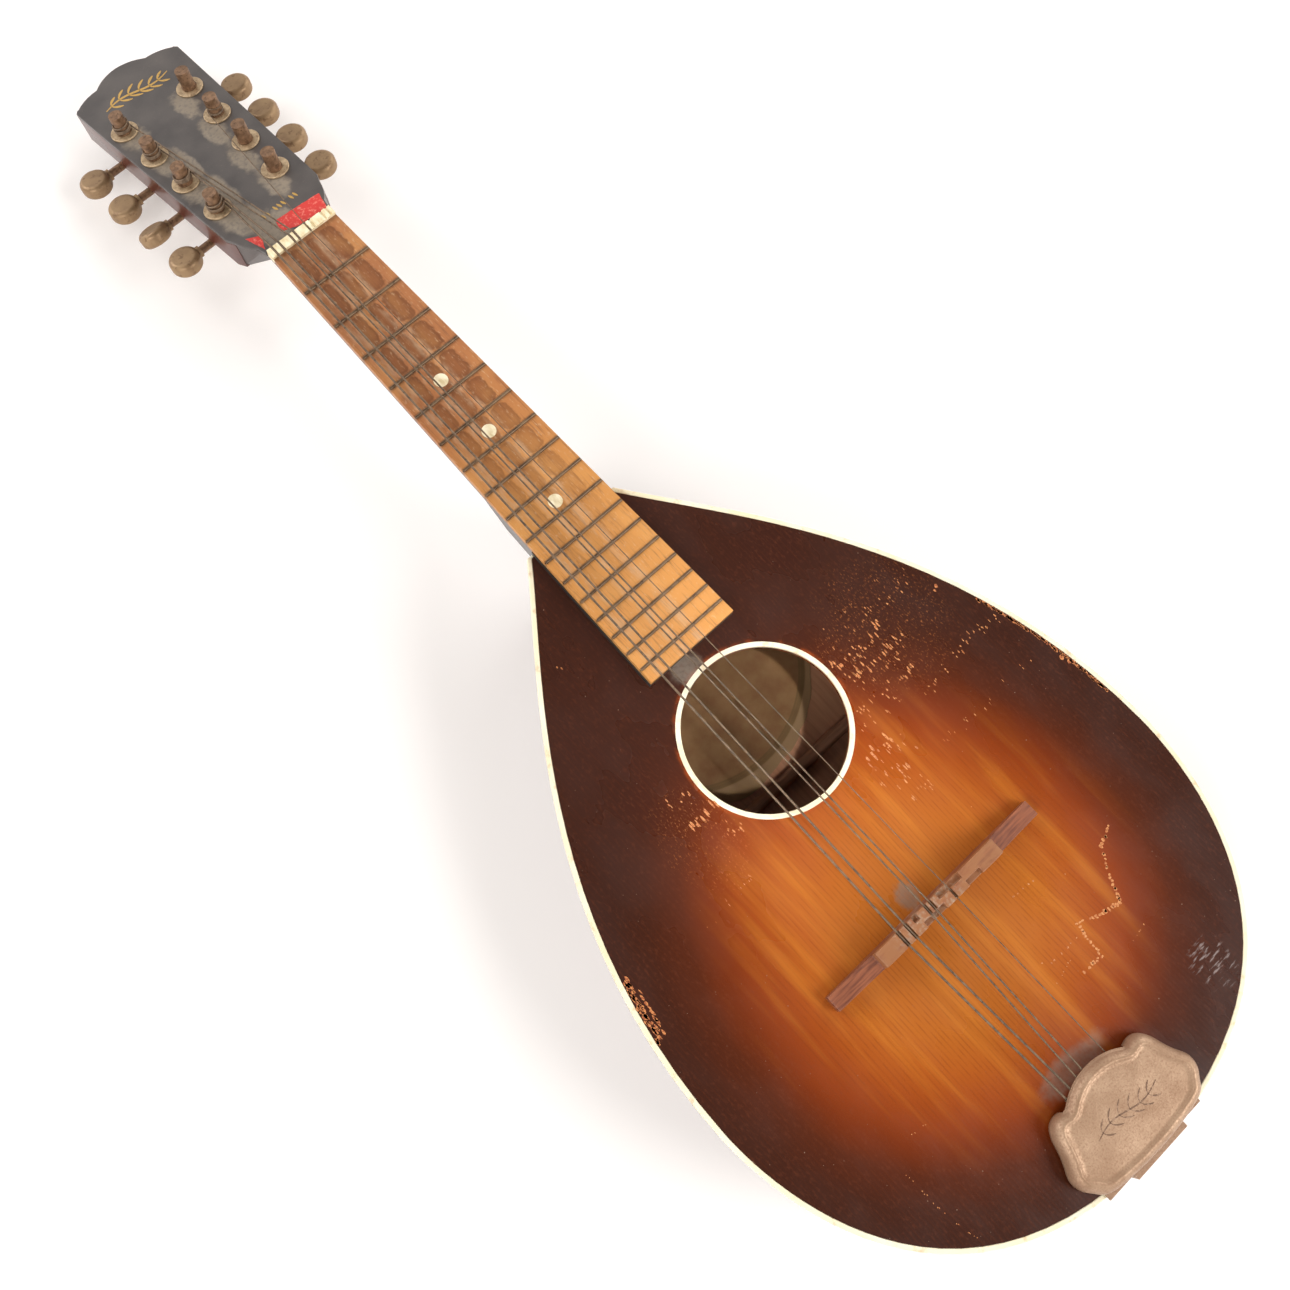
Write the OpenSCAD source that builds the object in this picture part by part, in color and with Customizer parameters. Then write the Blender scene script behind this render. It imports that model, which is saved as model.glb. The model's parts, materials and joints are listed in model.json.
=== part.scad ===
// Flat-back mandolin with a teardrop body, lying on its back.
// X runs across the strings, treble side positive. Y runs along the neck, head end positive.
// Z points up out of the soundboard. The origin is under the middle of the overall length.

/* [Scale] */
// Length of the open string from the nut to the bridge
scale_length = 350; // [345:1:355]
// Number of frets on the board
fret_count = 17; // [15:1:17]
// Distance from the nut to the end of the fretboard
board_length = 225; // [222:1:228]
// Width of the fretboard at the nut
board_w_nut = 31.2; // [30:0.2:33]
// Width of the fretboard at its end
board_w_end = 42; // [40:0.5:44]
// Thickness of the fretboard
board_t = 3; // [2.5:0.5:3]
// Thickness of the black strip between the fretboard and the soundboard
riser_t = 3; // [2.5:0.5:4]

/* [Body] */
// Half of the widest part of the body
body_half_w = 111.5; // [108:0.5:115]
// Distance from the nut to the widest part
body_wide_at = 358.5; // [353:0.5:362]
// Distance from the nut to the tail edge
body_tail = 467; // [464:0.5:470]
// Distance from the nut to where the body meets the neck
body_neck = 157; // [155:1:159]
// Height of the body from the back to the face of the soundboard
body_depth = 56; // [54:1:60]
// How far the back edge lies inside the soundboard edge
side_lean = 7; // [5:0.5:8]
// Thickness of the soundboard
top_t = 2.8; // [2.4:0.1:3.2]
// Thickness of the back
back_t = 3; // [2.6:0.1:3.4]
// Thickness of the sides, which is also the width of the binding
side_t = 2; // [1.8:0.1:2.2]
// Height of the binding round the soundboard
binding_h = 6; // [5.5:0.5:7]
// Radius of the sound hole
hole_r = 31.8; // [30:0.2:33]
// Distance from the nut to the middle of the sound hole
hole_at = 265.6; // [264:0.2:267]
// Width of the ring let in round the sound hole
ring_w = 2; // [1.5:0.1:2.5]

/* [Head and tuners] */
// Backward tilt of the head, in degrees
head_angle = 16; // [14:1:17]
// Thickness of the wood of the head
head_t = 12.5; // [12:0.5:13]
// Thickness of the black veneer on the head
veneer_t = 1.5; // [1:0.1:2]
// Length of the head from the nut to its rounded tip
head_len = 141.4; // [140:0.2:144]
// Distance between neighbouring string posts
post_pitch = 23; // [22.5:0.1:23.5]
// Distance from the nut end of the head to the first post
post_first = 34.6; // [34:0.1:36]
// Distance of the first post from the centre line
post_x = 14.6; // [14:0.1:15]
// How much each row of posts spreads towards the tip, in degrees
row_splay = 2.1; // [1.8:0.1:2.2]
// How far both rows of posts sit towards the bass side
row_shift = 1.2; // [0:0.1:1.4]
// Radius of a string post
post_r = 3; // [2.8:0.1:3.1]
// Height of a string post above the veneer
post_h = 9.4; // [9:0.1:11]
// Radius of a tuning button
button_r = 6.8; // [6:0.1:7]
// Thickness of a tuning button
button_t = 6.5; // [5:0.1:7]

/* [Bridge and tailpiece] */
// Length of the bridge across the strings
bridge_len = 104; // [100:1:108]
// Front-to-back thickness of the bridge
bridge_t = 6.6; // [6:0.1:7]
// Height of the strings above the fretboard plane at the bridge
bridge_string_h = 5; // [4.5:0.5:5.5]
// Distance from the nut to the front edge of the tailpiece cover
cover_front = 428.3; // [427:0.1:430]
// How far the tailpiece sits towards the bass side
tail_shift = 1; // [0:0.5:2]
// Distance between neighbouring string hooks
hook_pitch = 3.6; // [3.4:0.1:3.8]

/* [Hidden] */

$fn = 48;
touch = 0.05;              // running clearance of a turning part, measured on the radius
eps = 0.01;                // overrun that keeps a cut clear of the face it opens
wood_dark = "#4a2a1c";
wood_mid = "#8a5a36";
spruce = "#d9a566";
cream = "#ece3c4";
brass = "#a08850";
black = "#26211f";

// Heights above the back
top_under = body_depth - top_t;
binding_z = body_depth - binding_h;
board_under = body_depth + riser_t;
board_z = board_under + board_t;
lining_h = 9;
lining_t = 5;
block_clear = 0.2;
neck_block_len = 30;
tail_block_len = 16;
tail_block_w = 60;

// Tail end fittings
strap_t = 1.2;
lean_angle = atan(side_lean / (binding_z - back_t));

// Places along Y: a point at distance u from the nut, towards the tail, is at nut_y - u
head_start = 4.9;
head_drop = 1;
head_tip_y = head_start + head_len * cos(head_angle);
nut_y = (body_tail + strap_t - head_tip_y) / 2;
function y_at(u) = nut_y - u;

// ---- Body outline -------------------------------------------------------------
tail_steps = 26;
flank_steps = 22;
tail_curve = [[0, body_tail], [104, body_tail], [body_half_w, body_wide_at + 22],
              [body_half_w, body_wide_at]];
neck_half_w = 22.2;
flank_curve = [[body_half_w, body_wide_at], [body_half_w, body_wide_at - 100],
               [neck_half_w + 28.4, body_neck + 39.5], [neck_half_w, body_neck]];

function bezier(p, t) = pow(1 - t, 3) * p[0] + 3 * pow(1 - t, 2) * t * p[1]
                      + 3 * (1 - t) * t * t * p[2] + pow(t, 3) * p[3];
function bezier_dir(p, t) = pow(1 - t, 2) * (p[1] - p[0]) + 2 * (1 - t) * t * (p[2] - p[1])
                          + t * t * (p[3] - p[2]);
// A point of a curve moved inwards by inset, square to the curve, and turned into X and Y
function inset_point(p, t, inset) =
    let (a = bezier(p, t), d = bezier_dir(p, t), n = [d[1], -d[0]] / norm(d))
    [a[0] + n[0] * inset, y_at(a[1] + n[1] * inset)];
// Treble half of the outline, from the tail to the neck
function half_outline(inset) = concat(
    [for (i = [0:tail_steps]) inset_point(tail_curve, i / tail_steps, inset)],
    [for (i = [1:flank_steps]) inset_point(flank_curve, i / flank_steps, inset)]);
function mirrored(points) = [for (i = [len(points) - 1:-1:1]) [-points[i][0], points[i][1]]];
function outline(inset) = concat(half_outline(inset), mirrored(half_outline(inset)));

module body_shape(inset) {
    polygon(outline(inset));
}

module plate(z, t, inset) {
    translate([0, 0, z])
        linear_extrude(t)
            body_shape(inset);
}

// How far the side lies inside the top outline at height z
function lean_at(z) = z >= binding_z ? 0 : side_lean * (binding_z - z) / (binding_z - back_t);

// A leaning wall: each level is a height, and the wall runs between two insets
module leaning_wall(levels, outer, inner) {
    n = 2 * (tail_steps + flank_steps) + 1;
    count = len(levels);
    outer_points = [for (z = levels, p = outline(lean_at(z) + outer)) [p[0], p[1], z]];
    inner_points = [for (z = levels, p = outline(lean_at(z) + inner)) [p[0], p[1], z]];
    base = count * n;
    walls = [for (k = [0:count - 2], i = [0:n - 1]) let (j = (i + 1) % n)
        [[k * n + i, k * n + n + i, k * n + n + j, k * n + j],
         [base + k * n + i, base + k * n + j, base + k * n + n + j, base + k * n + n + i]]];
    rims = [for (i = [0:n - 1]) let (j = (i + 1) % n, t = (count - 1) * n)
        [[i, j, base + j, base + i],
         [t + i, base + t + i, base + t + j, t + j]]];
    polyhedron(concat(outer_points, inner_points),
               concat([for (w = walls, f = w) f], [for (r = rims, f = r) f]));
}

// A closed solid through a pile of rings, each given as [height, outline]; the outlines run
// anticlockwise seen from above and have the same number of points
module ring_pile(rings) {
    n = len(rings[0][1]);
    count = len(rings);
    points = [for (r = rings, p = r[1]) [p[0], p[1], r[0]]];
    walls = [for (k = [0:count - 2], i = [0:n - 1]) let (j = (i + 1) % n)
        [k * n + i, k * n + n + i, k * n + n + j, k * n + j]];
    floor_face = [[for (i = [0:n - 1]) i]];
    roof_face = [[for (i = [n - 1:-1:0]) (count - 1) * n + i]];
    polyhedron(points, concat(walls, floor_face, roof_face));
}

// A solid that fills the inside of the leaning sides
module leaning_fill(levels, inset) {
    ring_pile([for (z = levels) [z, outline(lean_at(z) + inset)]]);
}

// A box over the stretch u1 to u2 from the nut, half_w to each side
module stretch(u1, u2, half_w, z1, z2) {
    translate([-half_w, y_at(u2), z1])
        cube([2 * half_w, u2 - u1, z2 - z1]);
}

// ---- Body pieces ----------------------------------------------------------------
module hole_cylinder(r, z1, z2) {
    translate([0, y_at(hole_at), z1])
        cylinder(r = r, h = z2 - z1, $fn = 96);
}

ring_t = 1.4;

module top() {
    color(spruce)
        difference() {
            plate(top_under, top_t, side_t);
            hole_cylinder(hole_r, top_under - 1, body_depth + 1);
            hole_cylinder(hole_r + ring_w, body_depth - ring_t, body_depth + 1);
        }
}

module top_binding() {
    color(cream)
        difference() {
            plate(binding_z, binding_h, 0);
            plate(binding_z - 1, binding_h + 2, side_t);
        }
}

module sound_hole_ring() {
    color(cream)
        difference() {
            hole_cylinder(hole_r + ring_w, body_depth - ring_t, body_depth);
            hole_cylinder(hole_r, body_depth - ring_t - 1, body_depth + 1);
        }
}

tail_screw_r = 1.2;
tail_screw_len = 14;
tail_screw_x = 8;
tail_screw_drops = [8, 20];

// Places the children at each tailpiece screw, with Z pointing out of the tail
module at_tail_screws() {
    for (drop = tail_screw_drops, side = [-1, 1])
        translate([side * tail_screw_x - tail_shift, y_at(body_tail), binding_z])
            rotate([lean_angle, 0, 0])
                translate([0, 0, -drop])
                    rotate([90, 0, 0])
                        children();
}

module sides() {
    color(wood_dark)
        difference() {
            leaning_wall([back_t, binding_z], 0, side_t);
            at_tail_screws()
                translate([0, 0, -tail_screw_len])
                    cylinder(r = tail_screw_r, h = tail_screw_len + 2, $fn = 24);
            stretch(body_neck - 5, body_neck + 8, tenon_w / 2 + touch, tenon_z, binding_z + 1);
        }
}

module back() {
    color(wood_dark)
        plate(0, back_t, side_lean + side_t);
}

module back_binding() {
    color(wood_dark)
        difference() {
            plate(0, back_t, side_lean);
            plate(-1, back_t + 2, side_lean + side_t);
        }
}

module linings() {
    color(spruce)
        for (band = [[back_t, back_t + lining_h], [top_under - lining_h, binding_z, top_under]])
            difference() {
                leaning_wall(band, side_t, side_t + lining_t);
                stretch(body_neck - 10, body_neck + neck_block_len + 1, 60, -1, body_depth);
                stretch(body_tail - tail_block_len - 1, body_tail + 5, tail_block_w / 2 + 1, -1,
                        body_depth);
            }
}

tenon_w = 16;
tenon_len = 12;
tenon_z = 14;
tenon_top = binding_z - 0.3;

module neck_block() {
    color(spruce)
        difference() {
            intersection() {
                leaning_fill([back_t, binding_z, top_under], side_t + block_clear);
                stretch(body_neck, body_neck + neck_block_len, 50, back_t, top_under);
            }
            stretch(body_neck - 5, body_neck + tenon_len + touch, tenon_w / 2 + touch, tenon_z,
                    body_depth);
        }
}

module tail_block() {
    color(spruce)
        difference() {
            intersection() {
                leaning_fill([back_t, binding_z, top_under], side_t + block_clear);
                stretch(body_tail - tail_block_len, body_tail, tail_block_w / 2, back_t, top_under);
            }
            at_tail_screws()
                translate([0, 0, -tail_screw_len])
                    cylinder(r = tail_screw_r, h = tail_screw_len + 2, $fn = 24);
        }
}

brace_h = 6;
brace_w = 5.5;
// Each brace: distance from the nut, and half its length
top_brace_list = [[225, 48], [306, 88]];
back_brace_list = [[284, 76], [345, 86], [408, 74]];

// A brace with a rounded crest and low, shaved ends; up = 1 stands it up, -1 hangs it
module brace(u, half_len, z, up) {
    tip = 14;
    translate([0, y_at(u), z])
        mirror([0, 0, up > 0 ? 0 : 1])
            intersection() {
                rotate([90, 0, 0])
                    linear_extrude(brace_w, center = true)
                        polygon([[-half_len, 0], [half_len, 0], [half_len, 1.5],
                                 [half_len - tip, brace_h], [tip - half_len, brace_h],
                                 [-half_len, 1.5]]);
                rotate([90, 0, 90])
                    linear_extrude(2 * half_len + 2, center = true)
                        union() {
                            translate([-brace_w / 2, 0])
                                square([brace_w, brace_h - brace_w / 2]);
                            translate([0, brace_h - brace_w / 2])
                                circle(r = brace_w / 2);
                        }
            }
}

module top_braces() {
    color(spruce)
        for (b = top_brace_list)
            brace(b[0], b[1], top_under, -1);
}

module back_braces() {
    color(wood_mid)
        for (b = back_brace_list)
            brace(b[0], b[1], back_t, 1);
}

label_at = 219.5;
label_r = 61;
label_t = 0.25;

module label() {
    color("#8a7a45")
        intersection() {
            translate([0, y_at(label_at), back_t])
                cylinder(r = label_r, h = label_t, $fn = 96);
            plate(back_t - 1, 2, side_lean + side_t + lining_t + 1);
            stretch(body_neck + neck_block_len + 0.5, label_at + label_r + 1, label_r + 1, 0,
                    back_t + 1);
        }
}

// ---- Neck -------------------------------------------------------------------------
neck_t_nut = 13;
neck_t_heel = 17;
function board_half(u) = board_w_nut / 2 + (board_w_end - board_w_nut) / 2 * u / board_length;

// Half-round slice of the neck at distance u, thick at its middle
module neck_slice(u, thick) {
    w = board_half(u);
    translate([0, y_at(u), board_under])
        rotate([90, 0, 0])
            linear_extrude(0.1)
                intersection() {
                    scale([1, thick / w])
                        circle(r = w, $fn = 40);
                    translate([-w, -thick - 1])
                        square([2 * w, thick + 1]);
                }
}

module heel_slice(u, bottom, half_w) {
    translate([0, y_at(u), board_under])
        rotate([90, 0, 0])
            linear_extrude(0.1)
                polygon([[-board_half(u), 0], [-board_half(u), -8], [-half_w, bottom - board_under],
                         [half_w, bottom - board_under], [board_half(u), -8],
                         [board_half(u), 0]]);
}

// Slice of the throat of the head, across the head frame at distance y from its nut end
module throat_slice(y, half_w, depth, corner) {
    head_frame()
        translate([0, y, 0])
            rotate([90, 0, 0])
                linear_extrude(0.1)
                    polygon([[-half_w, -veneer_t], [-half_w, corner - depth],
                             [-half_w + corner, -depth], [half_w - corner, -depth],
                             [half_w, corner - depth], [half_w, -veneer_t]]);
}

heel_start = 128;
heel_bottom = 9;
neck_t_mid = neck_t_heel + 4;

module neck() {
    color(black) {
        hull() {
            neck_slice(-nut_t, neck_t_nut);
            neck_slice(heel_start, neck_t_heel);
        }
        hull() {
            neck_slice(-nut_t, neck_t_nut);
            throat_slice(5, 17, 11.5, 8);
        }
        hull() {
            throat_slice(5, 17, 11.5, 8);
            throat_slice(throat_len, throat_half, head_total, 1.5);
        }
        hull() {
            neck_slice(heel_start, neck_t_heel);
            heel_slice(heel_start + 14, board_under - neck_t_mid, 12);
        }
        hull() {
            heel_slice(heel_start + 14, board_under - neck_t_mid, 12);
            heel_slice(body_neck - 0.1, heel_bottom, 11);
        }
        stretch(body_neck - eps, body_neck + tenon_len, tenon_w / 2, tenon_z, tenon_top);
    }
}

// ---- Head ---------------------------------------------------------------------------
// Head frame: origin on the veneer face at the nut, +Y to the tip, +Z out of the face
module head_frame() {
    translate([0, nut_y + head_start, board_z - head_drop])
        rotate([-head_angle, 0, 0])
            children();
}

throat_len = 14.5;
throat_half = 21.4;
head_root_half = 16;
head_waist_half = 23.3;
head_tip_half = 27;
head_corner = 130.5;
crest_half = 13;
crest_steps = 8;

function arc_between(a, b, bulge, steps) =
    [for (i = [0:steps]) let (t = i / steps, d = b - a, n = [-d[1], d[0]] / norm(d))
        a + d * t + n * bulge * 4 * t * (1 - t)];

// Treble half of the head: throat, side, corner, hollow shoulder and rounded crest
head_half = concat(
    [[head_root_half, 0]],
    arc_between([17, 5], [21.6, 14.5], -0.8, 4),
    [[head_waist_half, 18.5], [head_tip_half, head_corner], [head_tip_half - 1.2, head_corner + 1.6]],
    arc_between([head_tip_half - 2, head_corner + 1.7], [crest_half, head_len - 5.2], -1.0, 5),
    arc_between([crest_half - 0.8, head_len - 4.6], [0, head_len], -1.1, crest_steps));

module head_shape() {
    polygon(concat(head_half, mirrored(concat([[0, head_len]], [for (p = head_half)
        if (p[0] > 0.1) p]))));
}

ferrule_r = 6;
ferrule_h = 0.9;
sleeve_r = 4;
sleeve_len = 4;
head_bore_r = 3.5;

// Puts the children in the frame of tuner i of one side: the origin is on the veneer face at
// the post, +X points out of that side of the head and +Y to the tip
module tuner_frame(side, i) {
    head_frame()
        mirror([side < 0 ? 1 : 0, 0, 0])
            translate([post_x - side * row_shift, post_first, 0])
                rotate([0, 0, -row_splay])
                    translate([0, i * post_pitch, 0])
                        children();
}

module each_tuner() {
    for (side = [-1, 1], i = [0:3])
        tuner_frame(side, i)
            children();
}

head_total = head_t + veneer_t;
plate_t = 1.2;
plate_z = -head_total - plate_t;
screw_r = 1;
screw_len = 8;
plate_screw_x = -4.5;

// Each plate has a wood screw between neighbouring posts and beyond the end ones
module each_plate_screw() {
    for (side = [-1, 1], k = [-0.32, 0.62, 1.62, 2.62, 3.5])
        tuner_frame(side, k)
            translate([k > 0 && k < 3 ? plate_screw_x : 0, 0, 0])
                children();
}

module headstock() {
    color(wood_dark)
        difference() {
            head_frame()
                translate([0, 0, -head_total])
                    linear_extrude(head_t)
                        intersection() {
                            head_shape();
                            translate([-head_tip_half - 1, throat_len])
                                square([2 * head_tip_half + 2, head_len]);
                        }
            each_tuner()
                translate([0, 0, -head_total - 1])
                    cylinder(r = head_bore_r, h = head_total + 2, $fn = 32);
            each_tuner()
                translate([0, 0, -sleeve_len])
                    cylinder(r = sleeve_r, h = sleeve_len + 1, $fn = 32);
            each_plate_screw()
                translate([0, 0, -head_total - 1])
                    cylinder(r = screw_r, h = screw_len + 1, $fn = 24);
        }
}

module head_veneer() {
    color(black)
        difference() {
            head_frame()
                translate([0, 0, -veneer_t])
                    linear_extrude(veneer_t)
                        head_shape();
            each_tuner()
                translate([0, 0, -veneer_t - 1])
                    cylinder(r = sleeve_r, h = veneer_t + 2, $fn = 32);
        }
}

// ---- Fretboard ----------------------------------------------------------------------
function fret_u(n) = scale_length * (1 - pow(2, -n / 12));
fret_crown_r = 0.62;
fret_crown_h = 0.8;
tang_w = 0.5;
tang_h = 1.6;
dot_r = 2.9;
dot_t = 1.2;
// Each dot: the fret below it and its place in that space
dots = [[4, 0.63], [6, 0.55], [9, 0.55]];

module board_shape(extra, u1, u2) {
    polygon([[-board_half(u1) - extra, y_at(u1)], [board_half(u1) + extra, y_at(u1)],
             [board_half(u2) + extra, y_at(u2)], [-board_half(u2) - extra, y_at(u2)]]);
}

module dot_discs(r) {
    for (d = dots)
        translate([0, y_at(fret_u(d[0]) + d[1] * (fret_u(d[0] + 1) - fret_u(d[0]))),
                   board_z - dot_t])
            cylinder(r = r, h = dot_t);
}

module tangs() {
    for (n = [1:fret_count])
        translate([-board_half(fret_u(n)), y_at(fret_u(n)) - tang_w / 2, board_z - tang_h])
            cube([2 * board_half(fret_u(n)), tang_w, tang_h]);
}

module fretboard() {
    color("#9a6a3a")
        difference() {
            translate([0, 0, board_under])
                linear_extrude(board_t)
                    board_shape(0, 0, board_length);
            tangs();
            dot_discs(dot_r);
        }
}

module fretboard_riser() {
    color(black)
        translate([0, 0, body_depth])
            linear_extrude(riser_t)
                board_shape(0.4, body_neck, board_length);
}

module frets() {
    color("#8b8576") {
        tangs();
        for (n = [1:fret_count])
            translate([0, y_at(fret_u(n)), board_z])
                intersection() {
                    translate([0, 0, fret_crown_h - fret_crown_r])
                        rotate([0, 90, 0])
                            cylinder(r = fret_crown_r, h = 2 * board_half(fret_u(n)) - 0.6,
                                     center = true, $fn = 32);
                    translate([-40, -2, 0])
                        cube([80, 4, 2]);
                }
    }
}

module fret_dots() {
    color(cream)
        dot_discs(dot_r);
}

nut_t = 4.2;
nut_rise = 1.6;
slot_r = 0.55;

// Each string: X at the nut, X at the bridge, hook number from the bass side, radius,
// side and number of its post, counted from the nut
string_list = [[-13.2, -19, 0, 0.43, -1, 0], [-9.8, -15, 1, 0.43, -1, 1],
               [-4.6, -5.2, 2, 0.33, -1, 2], [-2.4, -2.8, 3, 0.33, -1, 3],
               [3.2, 5.8, 6, 0.2, 1, 2]];
// Slots for the strings that are missing
empty_slots = [5.6, 11.2, 13.8];
nut_string_z = board_z + 1.3;

module nut() {
    color(cream)
        difference() {
            stretch(-nut_t, 0, board_w_nut / 2, board_under, board_z + nut_rise);
            for (x = concat([for (s = string_list) s[0]], empty_slots))
                translate([x, y_at(-nut_t / 2), nut_string_z + 0.05])
                    rotate([90, 0, 0])
                        cylinder(r = slot_r, h = nut_t + 2, center = true, $fn = 16);
        }
}

// ---- Tuners ---------------------------------------------------------------------------
gear_teeth = 14;
gear_module = 0.75;
gear_pitch_r = gear_teeth * gear_module / 2;
gear_tip_r = gear_pitch_r + 0.25;
gear_root_r = gear_pitch_r - 0.75;
gear_t = 2.6;
worm_lead = PI * gear_module;
worm_core_r = 2.05;
worm_throw = 0.6;
worm_len = 6;
worm_y = gear_pitch_r + 2.25;
worm_z = -head_total - 4;
shaft_r = 1.75;
shaft_end = 17;
lug_in = 3.5;
lug_t = 2;
shaft_root = worm_len / 2 - 0.2;
button_x = 20.75;
journal_r = 2.3;

module lug(x) {
    difference() {
        translate([x, worm_y - 3, worm_z])
            cube([lug_t, 6, plate_z - worm_z + eps]);
        translate([x - 1, worm_y, worm_z])
            rotate([0, 90, 0])
                cylinder(r = shaft_r + touch, h = lug_t + 2, $fn = 32);
    }
    translate([x, worm_y, worm_z])
        rotate([0, 90, 0])
            difference() {
                cylinder(r = 3, h = lug_t, $fn = 32);
                translate([0, 0, -1])
                    cylinder(r = shaft_r + touch, h = lug_t + 2, $fn = 32);
            }
}

module tuner_plates() {
    color(brass)
        for (side = [-1, 1])
            difference() {
                union() {
                    tuner_frame(side, 0)
                        translate([-7, -9.5, plate_z])
                            cube([14, 3 * post_pitch + 23, plate_t]);
                    for (i = [0:3], x = [-lug_in - lug_t, lug_in])
                        tuner_frame(side, i)
                            lug(x);
                }
                for (i = [0:3])
                    tuner_frame(side, i)
                        translate([0, 0, plate_z - 1])
                            cylinder(r = journal_r + touch, h = plate_t + 2, $fn = 32);
                each_plate_screw()
                    translate([0, 0, plate_z - 1])
                        cylinder(r = screw_r, h = plate_t + 2, $fn = 24);
            }
}

module tuner_screws() {
    color(brass)
        each_plate_screw()
            difference() {
                union() {
                    translate([0, 0, plate_z])
                        cylinder(r = screw_r, h = plate_t + screw_len, $fn = 24);
                    translate([0, 0, plate_z - 0.9])
                        cylinder(r = 2, h = 0.9, $fn = 24);
                }
                translate([-3, -0.3, plate_z - 1.4])
                    cube([6, 0.6, 1]);
            }
}

module ferrules() {
    color(brass)
        each_tuner()
            difference() {
                union() {
                    cylinder(r = ferrule_r, h = ferrule_h, $fn = 40);
                    translate([0, 0, -sleeve_len])
                        cylinder(r = sleeve_r, h = sleeve_len + eps, $fn = 32);
                }
                translate([0, 0, -sleeve_len - 1])
                    cylinder(r = post_r + touch, h = sleeve_len + 3, $fn = 32);
            }
}

post_step = -head_total + 0.15;
gear_top = worm_z + gear_t / 2;
gear_seat_r = 1.6;
gear_screw_r = 0.9;
gear_screw_head_r = 2.4;
gear_screw_head_h = 1.2;

module post() {
    color(brass)
        difference() {
            union() {
                translate([0, 0, post_step])
                    cylinder(r = post_r, h = post_h - post_step, $fn = 32);
                translate([0, 0, gear_top])
                    cylinder(r = journal_r, h = post_step - gear_top + eps, $fn = 32);
                translate([0, 0, gear_top - gear_t])
                    cylinder(r = gear_seat_r, h = gear_t + eps, $fn = 32);
                translate([0, 0, ferrule_h + 0.1])
                    cylinder(r = post_r + 0.3, h = 0.5, $fn = 32);
            }
            translate([0, 0, 6])
                rotate([0, 90, 0])
                    cylinder(r = 0.8, h = 10, center = true, $fn = 24);
            translate([0, 0, gear_top - gear_t - 1])
                cylinder(r = gear_screw_r, h = gear_t + 4, $fn = 24);
        }
}

// Straight-sided teeth, one of them in line with the worm
module gear_shape() {
    circle(r = gear_root_r);
    for (k = [0:gear_teeth - 1])
        rotate(k * 360 / gear_teeth)
            polygon([[-0.62, gear_root_r - 0.3], [0.62, gear_root_r - 0.3],
                     [0.28, gear_tip_r], [-0.28, gear_tip_r]]);
}

module gear() {
    color(brass) {
        translate([0, 0, gear_top - gear_t])
            linear_extrude(gear_t)
                difference() {
                    gear_shape();
                    circle(r = gear_seat_r, $fn = 32);
                }
        difference() {
            union() {
                translate([0, 0, gear_top - gear_t - gear_screw_head_h])
                    cylinder(r = gear_screw_head_r, h = gear_screw_head_h, $fn = 24);
                translate([0, 0, gear_top - gear_t - eps])
                    cylinder(r = gear_screw_r, h = gear_t + 2.5, $fn = 24);
            }
            translate([-3, -0.35, gear_top - gear_t - gear_screw_head_h - 1])
                cube([6, 0.7, 1.6]);
        }
    }
}

// The worm is an off-centre round bar twisted once per lead; at its middle the valley of the
// thread faces the gear
module worm() {
    turns = worm_len / worm_lead;
    color(brass)
        translate([0, worm_y, worm_z])
            rotate([0, 90, 0]) {
                translate([0, 0, -worm_len / 2])
                    rotate(180 * turns)
                        linear_extrude(worm_len, twist = 360 * turns, slices = 28, $fn = 12)
                            translate([0, worm_throw])
                                circle(r = worm_core_r);
                translate([0, 0, -lug_in - lug_t - 0.6])
                    cylinder(r = shaft_r, h = lug_in + lug_t + 0.6 - shaft_root, $fn = 32);
                translate([0, 0, shaft_root])
                    cylinder(r = shaft_r, h = shaft_end - shaft_root, $fn = 32);
            }
}

edge_round = 2.2;
button_neck_r = 2.5;
button_neck_len = 3;
turned_button = -27;        // the second button on the bass side stands partly turned

module button_disc() {
    rotate_extrude($fn = 64)
        union() {
            square([button_r - edge_round, button_t / 2]);
            square([button_r, button_t / 2 - edge_round]);
            translate([button_r - edge_round, button_t / 2 - edge_round])
                intersection() {
                    circle(r = edge_round, $fn = 32);
                    square(edge_round);
                }
        }
}

// turn is how far the button is turned about its shaft from lying flat
module button(turn) {
    color(brass)
        translate([0, worm_y, worm_z])
            rotate([turn, 0, 0])
                difference() {
                    union() {
                        translate([button_x, 0, 0]) {
                            button_disc();
                            mirror([0, 0, 1])
                                button_disc();
                        }
                        translate([button_x - button_r - 0.9, 0, 0])
                            rotate([0, 90, 0])
                                cylinder(r = button_neck_r, h = button_neck_len, $fn = 32);
                    }
                    rotate([0, 90, 0])
                        cylinder(r = shaft_r, h = shaft_end, $fn = 32);
                }
}

// ---- Bridge -------------------------------------------------------------------------------
bridge_at = scale_length + 3;
saddle_z = board_z + bridge_string_h;
saddle_half = 30.5;
bridge_end_h = 4.2;
bridge_shoulder_h = 7.6;
string_gap = 0.35;
bridge_h = saddle_z - body_depth + 0.9;
// The four steps of the saddle: from X, to X, and which half is cut down, 1 at the tail side
saddle_steps = [[-12, -9.5, 0], [-9.5, 0.5, 1], [0.5, 12, 0], [12, 19, 1]];
step_cut = 2.4;
step_depth = 2.2;

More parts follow.
